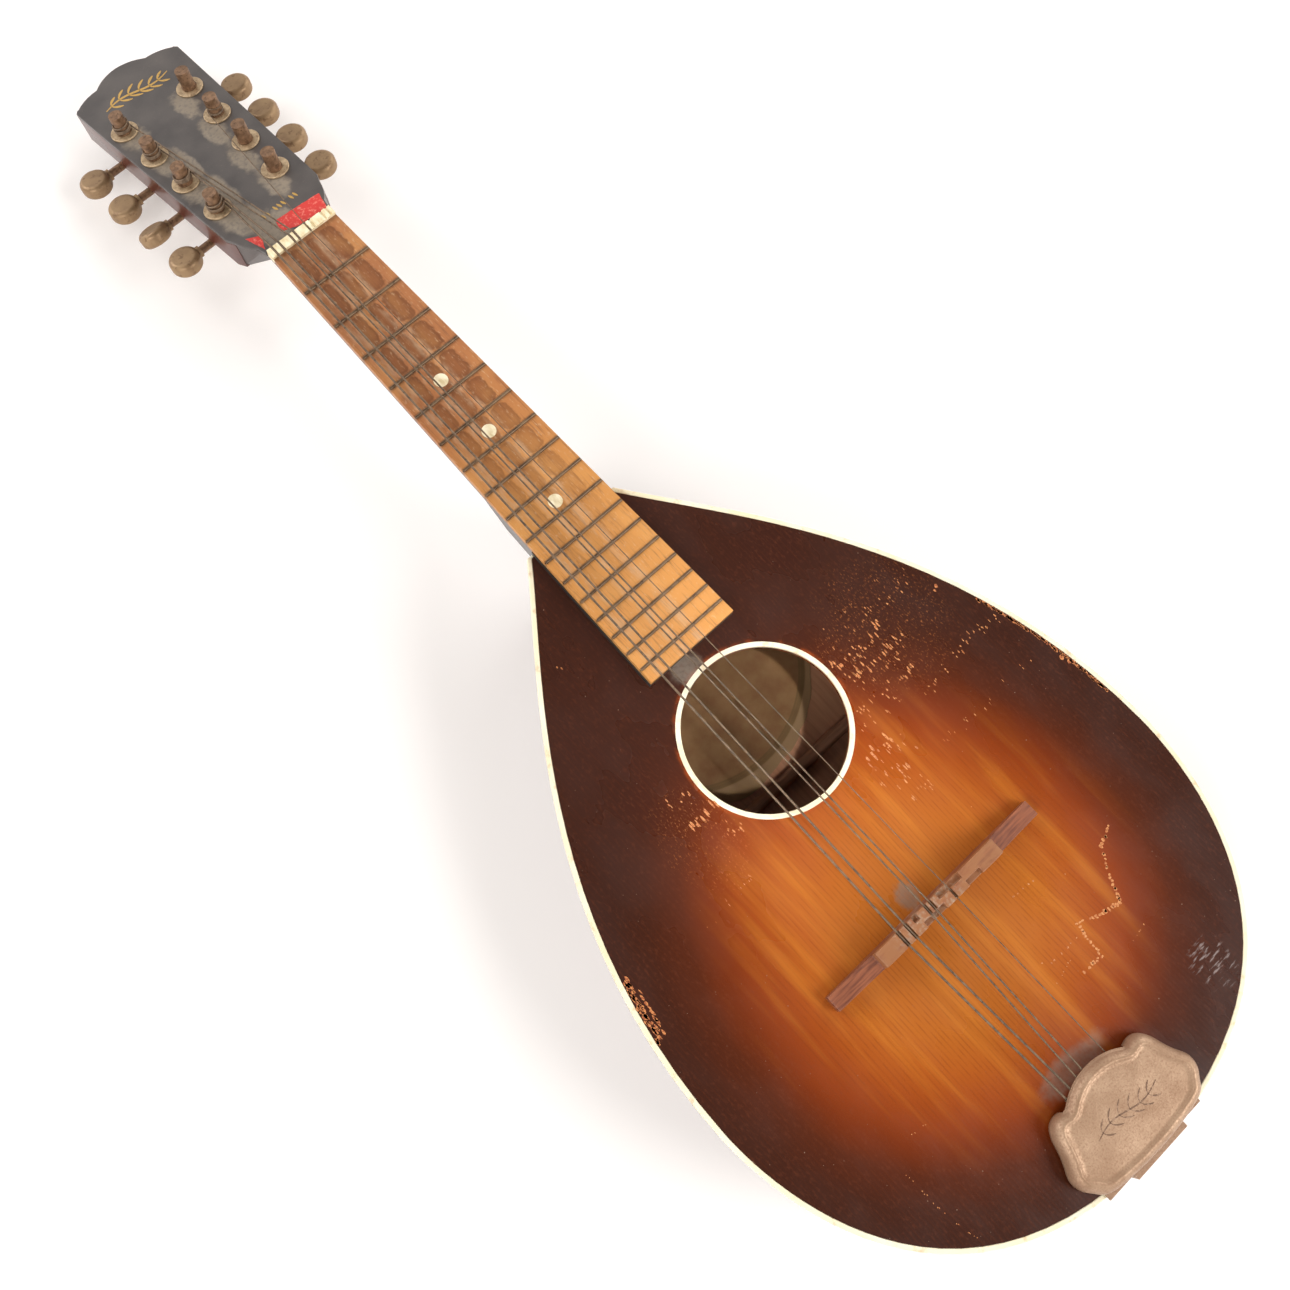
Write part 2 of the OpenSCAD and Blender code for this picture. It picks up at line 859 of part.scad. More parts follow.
module bridge_profile() {
    polygon(concat(
        [[-bridge_len / 2, 0], [-bridge_len / 2, bridge_end_h]],
        arc_between([-bridge_len / 2 + 1, bridge_end_h + 0.3], [-saddle_half, bridge_shoulder_h],
                    -0.5, 5),
        [[-saddle_half + 0.5, bridge_h - 0.8], [-saddle_half + 3, bridge_h],
         [saddle_half - 3, bridge_h], [saddle_half - 0.5, bridge_h - 0.8]],
        arc_between([saddle_half, bridge_shoulder_h], [bridge_len / 2 - 1, bridge_end_h + 0.3],
                    -0.5, 5),
        [[bridge_len / 2, bridge_end_h], [bridge_len / 2, 0]]));
}

module bridge() {
    color(wood_dark)
        translate([0, y_at(bridge_at), body_depth])
            difference() {
                rotate([90, 0, 0])
                    linear_extrude(bridge_t, center = true)
                        bridge_profile();
                for (s = saddle_steps)
                    translate([s[0], s[2] > 0 ? -bridge_t / 2 - 1 : bridge_t / 2 - step_cut,
                               bridge_h - step_depth])
                        cube([s[1] - s[0], step_cut + 1, step_depth + 1]);
                for (s = string_list)
                    translate([s[1] - s[3] - string_gap, -bridge_t, saddle_z - body_depth
                               - s[3] - string_gap])
                        cube([2 * (s[3] + string_gap), 2 * bridge_t, 5]);
            }
}

// ---- Tailpiece -------------------------------------------------------------------------------
hook_at = 446;
function hook_x(k) = (k - 3.5) * hook_pitch - tail_shift;
hook_r = 0.9;
hook_h = 4.6;
base_front = 440;
base_half = 24.1;
base_shift = 2.4;
base_end = 465.8;
notch_half = 17.5;
strap_half = 13;
strap_len = 27;
strap_overlap = 0.3;
tail_screw_bore = tail_screw_r + 0.02;
tail_screw_head_h = 1.1;

module tailpiece_base() {
    color("#9b9484")
        translate([-tail_shift, 0, 0]) {
            stretch(base_front, body_tail + strap_t, strap_half, body_depth, body_depth + strap_t);
            translate([-strap_half, y_at(body_tail + strap_t), binding_z - eps])
                cube([2 * strap_half, strap_t, binding_h + strap_t]);
        }
    color("#9b9484")
        translate([-base_shift, 0, 0])
            stretch(base_front, base_end, base_half, body_depth, body_depth + strap_t);
    color("#9b9484")
        for (k = [0:7])
            translate([hook_x(k), y_at(hook_at), body_depth + strap_t - eps])
                cylinder(r = hook_r, h = hook_h, $fn = 24);
    color("#9b9484")
        difference() {
            translate([-tail_shift, y_at(body_tail), binding_z])
                rotate([lean_angle, 0, 0])
                    translate([-strap_half, -strap_t, -strap_len])
                        cube([2 * strap_half, strap_t, strap_len + strap_overlap]);
            at_tail_screws()
                translate([0, 0, -1])
                    cylinder(r = tail_screw_bore, h = strap_t + 2, $fn = 24);
        }
}

module tailpiece_screws() {
    color("#9b9484")
        at_tail_screws()
            difference() {
                union() {
                    translate([0, 0, strap_t - tail_screw_len])
                        cylinder(r = tail_screw_r, h = tail_screw_len, $fn = 24);
                    translate([0, 0, strap_t])
                        cylinder(r = 2.3, h = tail_screw_head_h, $fn = 24);
                }
                translate([-3, -0.35, strap_t + 0.5])
                    cube([6, 0.7, 2]);
            }
}

cover_front_z = 5.8;       // height of the gap under its front lip, for the strings
cover_sheet = 0.9;
cover_shift = tail_shift + 0.7;
// The cover's rounded rim and sunk top: height above the soundboard, and how far inside the
// outline, from the bottom edge to the edge of the flat panel
cover_rim = [[2, 0], [4.6, 0.2], [6.2, 0.8], [7.4, 1.8], [8.1, 3], [8.2, 3.8], [7.7, 4.4]];

// Treble half of the cover: front arc, ear, waist, lobe and rear edge
cover_half = concat(
    arc_between([0, -cover_front], [15.9, -cover_front - 5.3], 1.4, 6),
    arc_between([16.4, -cover_front - 4.9], [25.7, -cover_front - 9], 2.3, 5),
    arc_between([26.3, -cover_front - 10.4], [30.7, -cover_front - 21.2], -0.5, 4),
    arc_between([31.3, -cover_front - 22.7], [27.8, -cover_front - 31.2], 1.3, 4),
    [[25, -cover_front - 34.2], [15, -cover_front - 36.4], [0, -cover_front - 37.2]]);
cover_outline = concat([for (i = [len(cover_half) - 1:-1:0]) cover_half[i]],
                       [for (i = [1:len(cover_half) - 2]) [-cover_half[i][0], cover_half[i][1]]]);

function left_of(a, b) = [a[1] - b[1], b[0] - a[0]] / norm(b - a);
// Moves each point of a closed anticlockwise outline inwards by the same distance
function inset_loop(p, inset) = let (n = len(p))
    [for (i = [0:n - 1])
        let (m = left_of(p[(i + n - 1) % n], p[i]) + left_of(p[i], p[(i + 1) % n]))
        p[i] + m * inset * 2 / (m * m)];

// The domed cover, made smaller all round by grow_in and lowered by sink
module cover_dome(grow_in, sink) {
    translate([-cover_shift, nut_y, body_depth])
        ring_pile([for (r = cover_rim) [r[0] - sink, inset_loop(cover_outline, r[1] + grow_in)]]);
}

module tailpiece_cover() {
    color("#b5a892")
        difference() {
            cover_dome(0, 0);
            cover_dome(cover_sheet, cover_sheet);
            translate([-tail_shift, 0, 0]) {
                stretch(cover_front - 5, cover_front + 12, 16.6, body_depth,
                        body_depth + cover_front_z);
                stretch(body_tail - 12, body_tail + 5, notch_half, body_depth,
                        body_depth + strap_t + 2);
            }
        }
}

// ---- Strings -----------------------------------------------------------------------------------
// A point of tuner i's frame, worked out as numbers
function in_head(p) = let (c = cos(head_angle), s = sin(head_angle))
    [p[0], nut_y + head_start + p[1] * c + p[2] * s, board_z - head_drop - p[1] * s + p[2] * c];
function in_tuner(side, i, p) =
    let (c = cos(row_splay), s = sin(row_splay), y = p[1] + i * post_pitch)
    in_head([side * (post_x + p[0] * c + y * s) - row_shift, post_first + y * c - p[0] * s, p[2]]);

coil_gap = 0.06;
hook_string_z = body_depth + strap_t + 2.6;
// For each string, the height above the veneer of its lowest turn and of the turn it leaves from
lowest_z = [2.1, 3.3, 2, 2, 1.9];
leave_z = [2.1, 4.9, 2, 2, 1.9];
post_turns = [2, 3, 3, 3, 3];

// Distance from the middle of a pin to the middle of a string wound on it
function wound_r(pin_r, r) = pin_r + coil_gap + r;

function string_path(s, z) = [
    in_tuner(s[4], s[5], [-wound_r(post_r, s[3]), 0, z]),
    [s[0], y_at(-nut_t), nut_string_z],
    [s[0], y_at(0), nut_string_z],
    [s[1], y_at(bridge_at), saddle_z],
    [hook_x(s[2]), y_at(hook_at) + wound_r(hook_r, s[3]), hook_string_z]];

string_sides = 8;

// A round bar along a nearly straight path that runs mainly along Y
module tube(path, r) {
    n = string_sides;
    count = len(path);
    points = [for (p = path, k = [0:n - 1]) p + r * [cos(k * 360 / n), 0, sin(k * 360 / n)]];
    walls = [for (j = [0:count - 2], k = [0:n - 1]) let (m = (k + 1) % n)
        [j * n + k, j * n + n + k, j * n + n + m, j * n + m]];
    polyhedron(points, concat(walls, [[for (k = [0:n - 1]) k]],
                              [[for (k = [n - 1:-1:0]) (count - 1) * n + k]]));
}

// A sleeve as thick and as high as turns of string of radius r lying on each other round a pin
module coil(pin_r, r, turns) {
    translate([0, 0, -r])
        difference() {
            cylinder(r = wound_r(pin_r, r) + r, h = 2 * r * turns, $fn = 32);
            translate([0, 0, -1])
                cylinder(r = pin_r + coil_gap, h = 2 * r * turns + 2, $fn = 32);
        }
}

module strings() {
    color("#8d8a84")
        for (k = [0:len(string_list) - 1]) {
            s = string_list[k];
            tube(string_path(s, leave_z[k]), s[3]);
            tuner_frame(s[4], s[5])
                translate([0, 0, lowest_z[k]])
                    coil(post_r, s[3], post_turns[k]);
            translate([hook_x(s[2]), y_at(hook_at), hook_string_z])
                coil(hook_r, s[3], 1);
        }
}

top();
top_binding();
sound_hole_ring();
sides();
back();
back_binding();
linings();
neck_block();
tail_block();
top_braces();
back_braces();
label();
neck();
headstock();
head_veneer();
fretboard();
fretboard_riser();
frets();
fret_dots();
nut();
tuner_plates();
tuner_screws();
ferrules();
tailpiece_base();
tailpiece_screws();
strings();
bridge();
tailpiece_cover();
for (side = [-1, 1], i = [0:3]) {
    tag = str(side < 0 ? "b" : "t", i + 1);
    tuner_frame(side, i) button(side < 0 && i == 1 ? turned_button : 0);
    tuner_frame(side, i) worm();
    tuner_frame(side, i) gear();
    tuner_frame(side, i) post();
}
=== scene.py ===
"""Looks of the flat-back mandolin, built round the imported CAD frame.

Everything is in metres in the row frame: X across the strings, Y along the neck towards the head,
Z up out of the soundboard. Places on the instrument are given the way a luthier would: u is the
distance in millimetres from the nut towards the tail, v the distance in millimetres from the centre
line towards the treble side. The shaders work in the same millimetres.
"""

import json
import math
import random

import bmesh
import bpy
from mathutils import Matrix, Vector
from mathutils import noise as mnoise

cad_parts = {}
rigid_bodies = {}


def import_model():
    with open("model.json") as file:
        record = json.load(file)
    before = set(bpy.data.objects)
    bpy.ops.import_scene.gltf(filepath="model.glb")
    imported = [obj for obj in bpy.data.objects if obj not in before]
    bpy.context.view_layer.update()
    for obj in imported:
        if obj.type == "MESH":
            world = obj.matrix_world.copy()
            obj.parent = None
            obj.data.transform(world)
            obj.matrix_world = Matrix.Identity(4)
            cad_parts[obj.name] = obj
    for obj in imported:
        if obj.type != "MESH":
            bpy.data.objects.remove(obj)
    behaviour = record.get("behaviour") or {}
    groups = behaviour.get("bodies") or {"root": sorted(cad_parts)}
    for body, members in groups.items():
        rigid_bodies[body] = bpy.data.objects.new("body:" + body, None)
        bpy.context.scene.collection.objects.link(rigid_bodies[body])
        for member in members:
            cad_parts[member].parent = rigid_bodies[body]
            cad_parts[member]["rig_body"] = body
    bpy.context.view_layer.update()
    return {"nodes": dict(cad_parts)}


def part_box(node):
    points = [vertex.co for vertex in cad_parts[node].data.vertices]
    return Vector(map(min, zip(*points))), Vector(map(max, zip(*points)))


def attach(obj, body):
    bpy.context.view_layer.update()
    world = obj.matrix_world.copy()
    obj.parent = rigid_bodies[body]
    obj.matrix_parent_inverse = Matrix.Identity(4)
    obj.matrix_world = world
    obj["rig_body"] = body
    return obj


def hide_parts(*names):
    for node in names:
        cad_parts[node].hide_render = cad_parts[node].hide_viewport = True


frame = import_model()
nodes = frame["nodes"]

MM = 0.001
BODY = "instrument"

# ---- Places taken from the frame ------------------------------------------------------------
NUT_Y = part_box("nut")[0].y
FACE_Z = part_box("top")[1].z
BOARD_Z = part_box("fretboard")[1].z
BACK_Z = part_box("back")[1].z
HOLE = (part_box("sound_hole_ring")[0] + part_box("sound_hole_ring")[1]) / 2
HOLE_U = (NUT_Y - HOLE.y) / MM
BOARD_END = (NUT_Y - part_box("fretboard")[0].y) / MM
SCALE_LENGTH = 350.0
HEAD_TILT = math.radians(16)
HEAD_ORIGIN = Vector((0, NUT_Y + 4.9 * MM, BOARD_Z - 1 * MM))


def at(u, v, z):
    """The point u mm from the nut and v mm from the centre line, at height z in metres."""
    return Vector((v * MM, NUT_Y - u * MM, z))


def on_head(s, v, n=0.0):
    """A point of the head's face: s mm from its nut end, v mm across, n mm above the veneer."""
    c, k = math.cos(HEAD_TILT), math.sin(HEAD_TILT)
    return HEAD_ORIGIN + Vector((v, s * c + n * k, -s * k + n * c)) * MM


def srgb(r, g, b, a=1.0):
    """An 0-255 screen colour as linear RGBA."""
    def lin(c):
        c /= 255
        return c / 12.92 if c <= 0.04045 else ((c + 0.055) / 1.055) ** 2.4
    return (lin(r), lin(g), lin(b), a)


NOISE_ROUGHNESS = 0.55

# ---- Shader building ------------------------------------------------------------------------
class Shader:
    """One material round a Principled shader. Positions are millimetres of the row frame."""

    def __init__(self, name, roughness=0.5, metallic=0.0, coat=0.0, coat_roughness=0.1, specular=0.5):
        self.mat = bpy.data.materials.new(name)
        self.mat.use_nodes = True
        self.tree = self.mat.node_tree
        self.bsdf = self.tree.nodes["Principled BSDF"]
        self.bsdf.inputs["Roughness"].default_value = roughness
        self.bsdf.inputs["Metallic"].default_value = metallic
        self.bsdf.inputs["Coat Weight"].default_value = coat
        self.bsdf.inputs["Coat Roughness"].default_value = coat_roughness
        self.bsdf.inputs["Specular IOR Level"].default_value = specular
        coords = self.tree.nodes.new("ShaderNodeTexCoord")
        self.p = self.mapped(coords.outputs["Object"], scale=(1 / MM,) * 3)
        split = self.tree.nodes.new("ShaderNodeSeparateXYZ")
        self.link(self.p, split.inputs[0])
        self.v = split.outputs["X"]
        self.y = split.outputs["Y"]
        self.z = split.outputs["Z"]
        self.u = self.math("SUBTRACT", NUT_Y / MM, self.y)

    def link(self, source, target):
        if isinstance(source, bpy.types.NodeSocket):
            self.tree.links.new(source, target)
        else:
            target.default_value = source

    def mapped(self, vector, scale=(1, 1, 1), location=(0, 0, 0)):
        node = self.tree.nodes.new("ShaderNodeMapping")
        self.link(vector, node.inputs["Vector"])
        node.inputs["Scale"].default_value = scale
        node.inputs["Location"].default_value = location
        return node.outputs[0]

    def math(self, operation, a, b=None, c=None):
        node = self.tree.nodes.new("ShaderNodeMath")
        node.operation = operation
        for value, socket in zip((a, b, c), node.inputs):
            if value is not None:
                self.link(value, socket)
        return node.outputs[0]

    def band(self, value, low, high, out=(0.0, 1.0)):
        """Goes smoothly from out[0] to out[1] as value goes from low to high."""
        node = self.tree.nodes.new("ShaderNodeMapRange")
        node.interpolation_type = "SMOOTHSTEP"
        self.link(value, node.inputs["Value"])
        for name, number in zip(("From Min", "From Max", "To Min", "To Max"), (low, high) + out):
            node.inputs[name].default_value = number
        return node.outputs[0]

    def noise(self, size, stretch=(1, 1, 1), detail=3.0, seed=0.0):
        """Noise whose features are about size mm; a stretch of 10 makes them 10 times longer."""
        scale = tuple(1 / (size * s) for s in stretch)
        place = self.mapped(self.p, scale=scale, location=(seed, seed * 0.7, seed * 1.3))
        node = self.tree.nodes.new("ShaderNodeTexNoise")
        self.link(place, node.inputs["Vector"])
        node.inputs["Scale"].default_value = 1.0
        node.inputs["Detail"].default_value = detail
        node.inputs["Roughness"].default_value = NOISE_ROUGHNESS
        return node.outputs["Fac"]

    def specks(self, spacing, radius, share, seed=0.0):
        """Small round spots: one cell in each spacing mm, shown for that share of the cells."""
        node = self.tree.nodes.new("ShaderNodeTexVoronoi")
        place = self.mapped(self.p, scale=(1 / spacing,) * 3, location=(seed, seed, seed))
        self.link(place, node.inputs["Vector"])
        node.inputs["Scale"].default_value = 1.0
        near = self.band(node.outputs["Distance"], radius / spacing, radius / spacing * 0.6)
        picked = self.tree.nodes.new("ShaderNodeSeparateColor")
        self.link(node.outputs["Color"], picked.inputs[0])
        chosen = self.math("LESS_THAN", picked.outputs[0], share)
        return self.math("MULTIPLY", near, chosen)

    def ramp(self, value, stops):
        node = self.tree.nodes.new("ShaderNodeValToRGB")
        self.link(value, node.inputs[0])
        points = node.color_ramp.elements
        while len(points) < len(stops):
            points.new(0.5)
        for point, (place, colour) in zip(points, stops):
            point.position = place
            point.color = colour
        return node.outputs[0]

    def mix(self, amount, a, b):
        node = self.tree.nodes.new("ShaderNodeMix")
        node.data_type = "RGBA"
        self.link(amount, node.inputs["Factor"])
        for value, socket in ((a, node.inputs[6]), (b, node.inputs[7])):
            self.link(value, socket)
        return node.outputs[2]

    def product(self, *values):
        result = values[0]
        for value in values[1:]:
            result = self.math("MULTIPLY", result, value)
        return result

    def length(self, a, b):
        """The length of the vector (a, b)."""
        return self.math("SQRT", self.math("ADD", self.math("POWER", a, 2.0), self.math("POWER", b, 2.0)))

    def ellipse(self, u, v, half_u, half_v, seed=0.0, ragged=0.35):
        """1 inside an uneven ellipse round the point (u, v), 0 outside."""
        du = self.math("DIVIDE", self.math("SUBTRACT", self.u, u), half_u)
        dv = self.math("DIVIDE", self.math("SUBTRACT", self.v, v), half_v)
        r = self.length(du, dv)
        patches = self.noise(max(half_u, half_v) / 3, seed=seed)
        wobble = self.math("MULTIPLY_ADD", patches, ragged, -ragged / 2)
        return self.band(self.math("ADD", r, wobble), 1.0, 0.55)

    def strip(self, centre, half, soft, across=None):
        """1 where across is within half of centre, fading over soft."""
        gap = self.math("ABSOLUTE", self.math("SUBTRACT", self.v if across is None else across, centre))
        return self.band(gap, half + soft, half)

    def colour(self, value):
        self.link(value, self.bsdf.inputs["Base Color"])

    def rough(self, value):
        self.link(value, self.bsdf.inputs["Roughness"])

    def bump(self, height, depth_mm, strength=1.0):
        node = self.tree.nodes.new("ShaderNodeBump")
        node.inputs["Strength"].default_value = strength
        node.inputs["Distance"].default_value = depth_mm * MM
        self.link(height, node.inputs["Height"])
        self.link(node.outputs[0], self.bsdf.inputs["Normal"])


# ---- Materials --------------------------------------------------------------------------------
# The strings' courses: v at the nut and at the bridge, which shaders use for the dust under them
COURSES = [(-11.5, -17.0), (-3.5, -4.0), (3.2, 5.8)]
BRIDGE_U = 353.0
GRAIN = 1.7


def course_dust(sh, half, soft):
    """1 under each string course, on the straight line from its nut slot to the bridge."""
    total = None
    for nut_v, bridge_v in COURSES:
        centre = sh.math("MULTIPLY_ADD", sh.u, (bridge_v - nut_v) / BRIDGE_U, nut_v)
        strip = sh.strip(centre, half, soft)
        total = strip if total is None else sh.math("MAXIMUM", total, strip)
    return total


def soundboard_material():
    sh = Shader("sunburst_varnish", roughness=0.34, coat=0.2, coat_roughness=0.14, specular=0.38)
    across = sh.math("DIVIDE", sh.math("ADD", sh.v, 3.0), 100.0)
    tailward = sh.math("SUBTRACT", sh.u, 362.0)
    along = sh.math("MAXIMUM", sh.math("DIVIDE", tailward, 96.0), sh.math("DIVIDE", tailward, -121.0))
    reach = sh.math("MULTIPLY", 0.91, sh.length(across, along))
    uneven = sh.math("MULTIPLY_ADD", sh.noise(40, stretch=(1, 2, 1), seed=3), 0.12, -0.06)
    burst = sh.ramp(sh.math("ADD", reach, uneven), [
        (0.0, srgb(181, 103, 33)), (0.32, srgb(175, 96, 29)), (0.45, srgb(164, 82, 22)),
        (0.54, srgb(150, 68, 16)), (0.63, srgb(132, 54, 12)), (0.7, srgb(110, 43, 11)),
        (0.79, srgb(80, 33, 13)), (0.9, srgb(62, 28, 15)), (1.0, srgb(56, 27, 17))])
    inside = sh.band(reach, 0.85, 0.45)

    wander = sh.math("MULTIPLY", sh.noise(60, stretch=(1, 6, 1), detail=1, seed=11), 14.0)
    phase = sh.math("MULTIPLY", sh.math("ADD", sh.v, wander), 2 * math.pi / GRAIN)
    wave = sh.math("MULTIPLY_ADD", sh.math("SINE", phase), 0.5, 0.5)
    lines = sh.band(wave, 0.62, 1.0)
    broken = sh.noise(2.2, stretch=(0.7, 3, 1), seed=5)
    streak = sh.product(lines, sh.band(broken, 0.3, 0.65), sh.band(inside, 0.0, 1.0, (0.08, 0.36)))
    colour = sh.mix(streak, burst, srgb(118, 52, 12))
    broad = sh.noise(7, stretch=(1, 12, 1), seed=2)
    colour = sh.mix(sh.product(sh.band(broad, 0.45, 0.75), sh.band(inside, 0, 1, (0.0, 0.3))), colour,
                    srgb(220, 140, 50))

    gap = sh.length(sh.v, sh.math("SUBTRACT", sh.u, HOLE_U))
    halo = sh.product(sh.band(gap, 35.6, 34.0), sh.band(sh.noise(9, seed=8), 0.4, 0.65))
    colour = sh.mix(sh.math("MULTIPLY", halo, 0.7), colour, srgb(160, 71, 25))

    dust = sh.ellipse(BOARD_END + 4, -6, 7, 8, seed=2, ragged=0.5)
    heap = sh.ellipse(345, -4.5, 7, 5, seed=4, ragged=0.8)
    front = sh.ellipse(427, -4, 7, 19, seed=9, ragged=0.7)
    dirt = sh.math("MAXIMUM", sh.math("MAXIMUM", dust, heap), sh.math("MULTIPLY", front, 0.7))
    dirt = sh.product(dirt, sh.band(sh.noise(1.4, detail=6, seed=1), 0.2, 0.6, (0.45, 1.0)), 0.62)
    colour = sh.mix(dirt, colour, srgb(134, 122, 108))

    # Scuff near the tail, partly real wear and partly a painted reflection: its pale bluish white stands in
    # for a glossy highlight on the varnish.
    scuff_and_sheen = sh.product(sh.ellipse(438, 62, 11, 9, seed=6, ragged=1.2),
                       sh.band(sh.noise(1.8, stretch=(3, 0.6, 1), detail=5, seed=7), 0.54, 0.64))
    colour = sh.mix(sh.math("MULTIPLY", scuff_and_sheen, 0.5), colour, srgb(176, 162, 158))
    outside = sh.band(reach, 0.45, 0.7)
    worn = sh.product(sh.band(sh.noise(0.55, stretch=(1, 2.5, 1), detail=4, seed=17), 0.56, 0.72),
                      sh.math("MAXIMUM", sh.ellipse(268, 62, 34, 34, seed=3, ragged=0.9),
                              sh.ellipse(282, -46, 26, 18, seed=5, ragged=0.9)), 0.5)
    colour = sh.mix(worn, colour, srgb(196, 118, 66))
    specks = sh.math("MAXIMUM", sh.specks(3.1, 0.16, 0.5, seed=3), sh.specks(5.3, 0.26, 0.4, seed=8))
    colour = sh.mix(sh.product(specks, sh.band(outside, 0.0, 1.0, (0.15, 0.5))), colour, srgb(170, 140, 120))
    mottle = sh.noise(1.0, stretch=(1, 2, 1), detail=5, seed=19)
    colour = sh.mix(sh.product(sh.band(mottle, 0.5, 0.75), outside, 0.2), colour, srgb(118, 62, 40))
    sh.colour(colour)

    haze = sh.noise(18, stretch=(1, 2, 1), seed=21)
    base = sh.band(haze, 0.3, 0.7, (0.24, 0.36))
    sh.rough(sh.math("ADD", base, sh.math("MULTIPLY", dirt, 0.5)))
    fine = sh.math("MULTIPLY", sh.noise(0.8, detail=4, seed=30), 0.5)
    ridges = sh.math("ADD", sh.math("MULTIPLY", wave, 0.5), fine)
    sh.bump(ridges, 0.05, 0.35)
    return sh.mat


def dark_wood(name, deep, light, roughness=0.32, coat=0.4):
    """Varnished wood with fine pores along the neck."""
    along = (1, 14, 1)
    sh = Shader(name, roughness=roughness, coat=coat, coat_roughness=0.15)
    grain = sh.noise(1.6, stretch=along, detail=5, seed=2)
    cloud = sh.noise(26, stretch=along, detail=2, seed=6)
    tone = sh.math("ADD", sh.math("MULTIPLY", grain, 0.6), sh.math("MULTIPLY", cloud, 0.4))
    sh.colour(sh.ramp(tone, [(0.3, deep), (0.7, light)]))
    sh.rough(sh.band(cloud, 0.3, 0.7, (roughness - 0.05, roughness + 0.1)))
    sh.bump(grain, 0.04, 0.4)
    return sh.mat


def back_material():
    """Dark varnish outside and bare reddish wood on the face inside the body."""
    sh = Shader("back_wood", roughness=0.4, coat=0.3, coat_roughness=0.2)
    grain = sh.noise(1.5, stretch=(1, 14, 1), detail=5, seed=2)
    cloud = sh.noise(26, stretch=(1, 6, 1), detail=2, seed=6)
    tone = sh.math("ADD", sh.math("MULTIPLY", grain, 0.6), sh.math("MULTIPLY", cloud, 0.4))
    outer = sh.ramp(tone, [(0.3, srgb(44, 22, 16)), (0.7, srgb(88, 44, 28))])
    inner = sh.ramp(tone, [(0.3, srgb(176, 118, 84)), (0.7, srgb(214, 156, 118))])
    indoors = sh.band(sh.z, BACK_Z / MM - 0.4, BACK_Z / MM - 0.2)
    sh.colour(sh.mix(indoors, outer, inner))
    sh.rough(sh.band(indoors, 0.0, 1.0, (0.4, 0.75)))
    sh.bump(grain, 0.04, 0.4)
    return sh.mat


def binding_material():
    sh = Shader("aged_celluloid", roughness=0.34, coat=0.25, coat_roughness=0.2)
    cloud = sh.noise(16, detail=4, seed=4)
    colour = sh.ramp(cloud, [(0.3, srgb(236, 222, 184)), (0.7, srgb(246, 238, 212))])
    grime = sh.product(sh.band(sh.noise(5, detail=5, seed=9), 0.54, 0.72), 0.5)
    colour = sh.mix(grime, colour, srgb(196, 150, 96))
    sh.colour(colour)
    sh.bump(sh.noise(1.4, detail=4, seed=3), 0.04, 0.3)
    return sh.mat


def bone_material():
    sh = Shader("old_bone", roughness=0.42)
    cloud = sh.noise(2.4, stretch=(1, 2, 1), detail=4, seed=5)
    colour = sh.ramp(cloud, [(0.35, srgb(214, 194, 150)), (0.65, srgb(247, 235, 204))])
    sh.colour(colour)
    sh.bump(sh.noise(0.7, detail=4, seed=8), 0.03, 0.4)
    return sh.mat


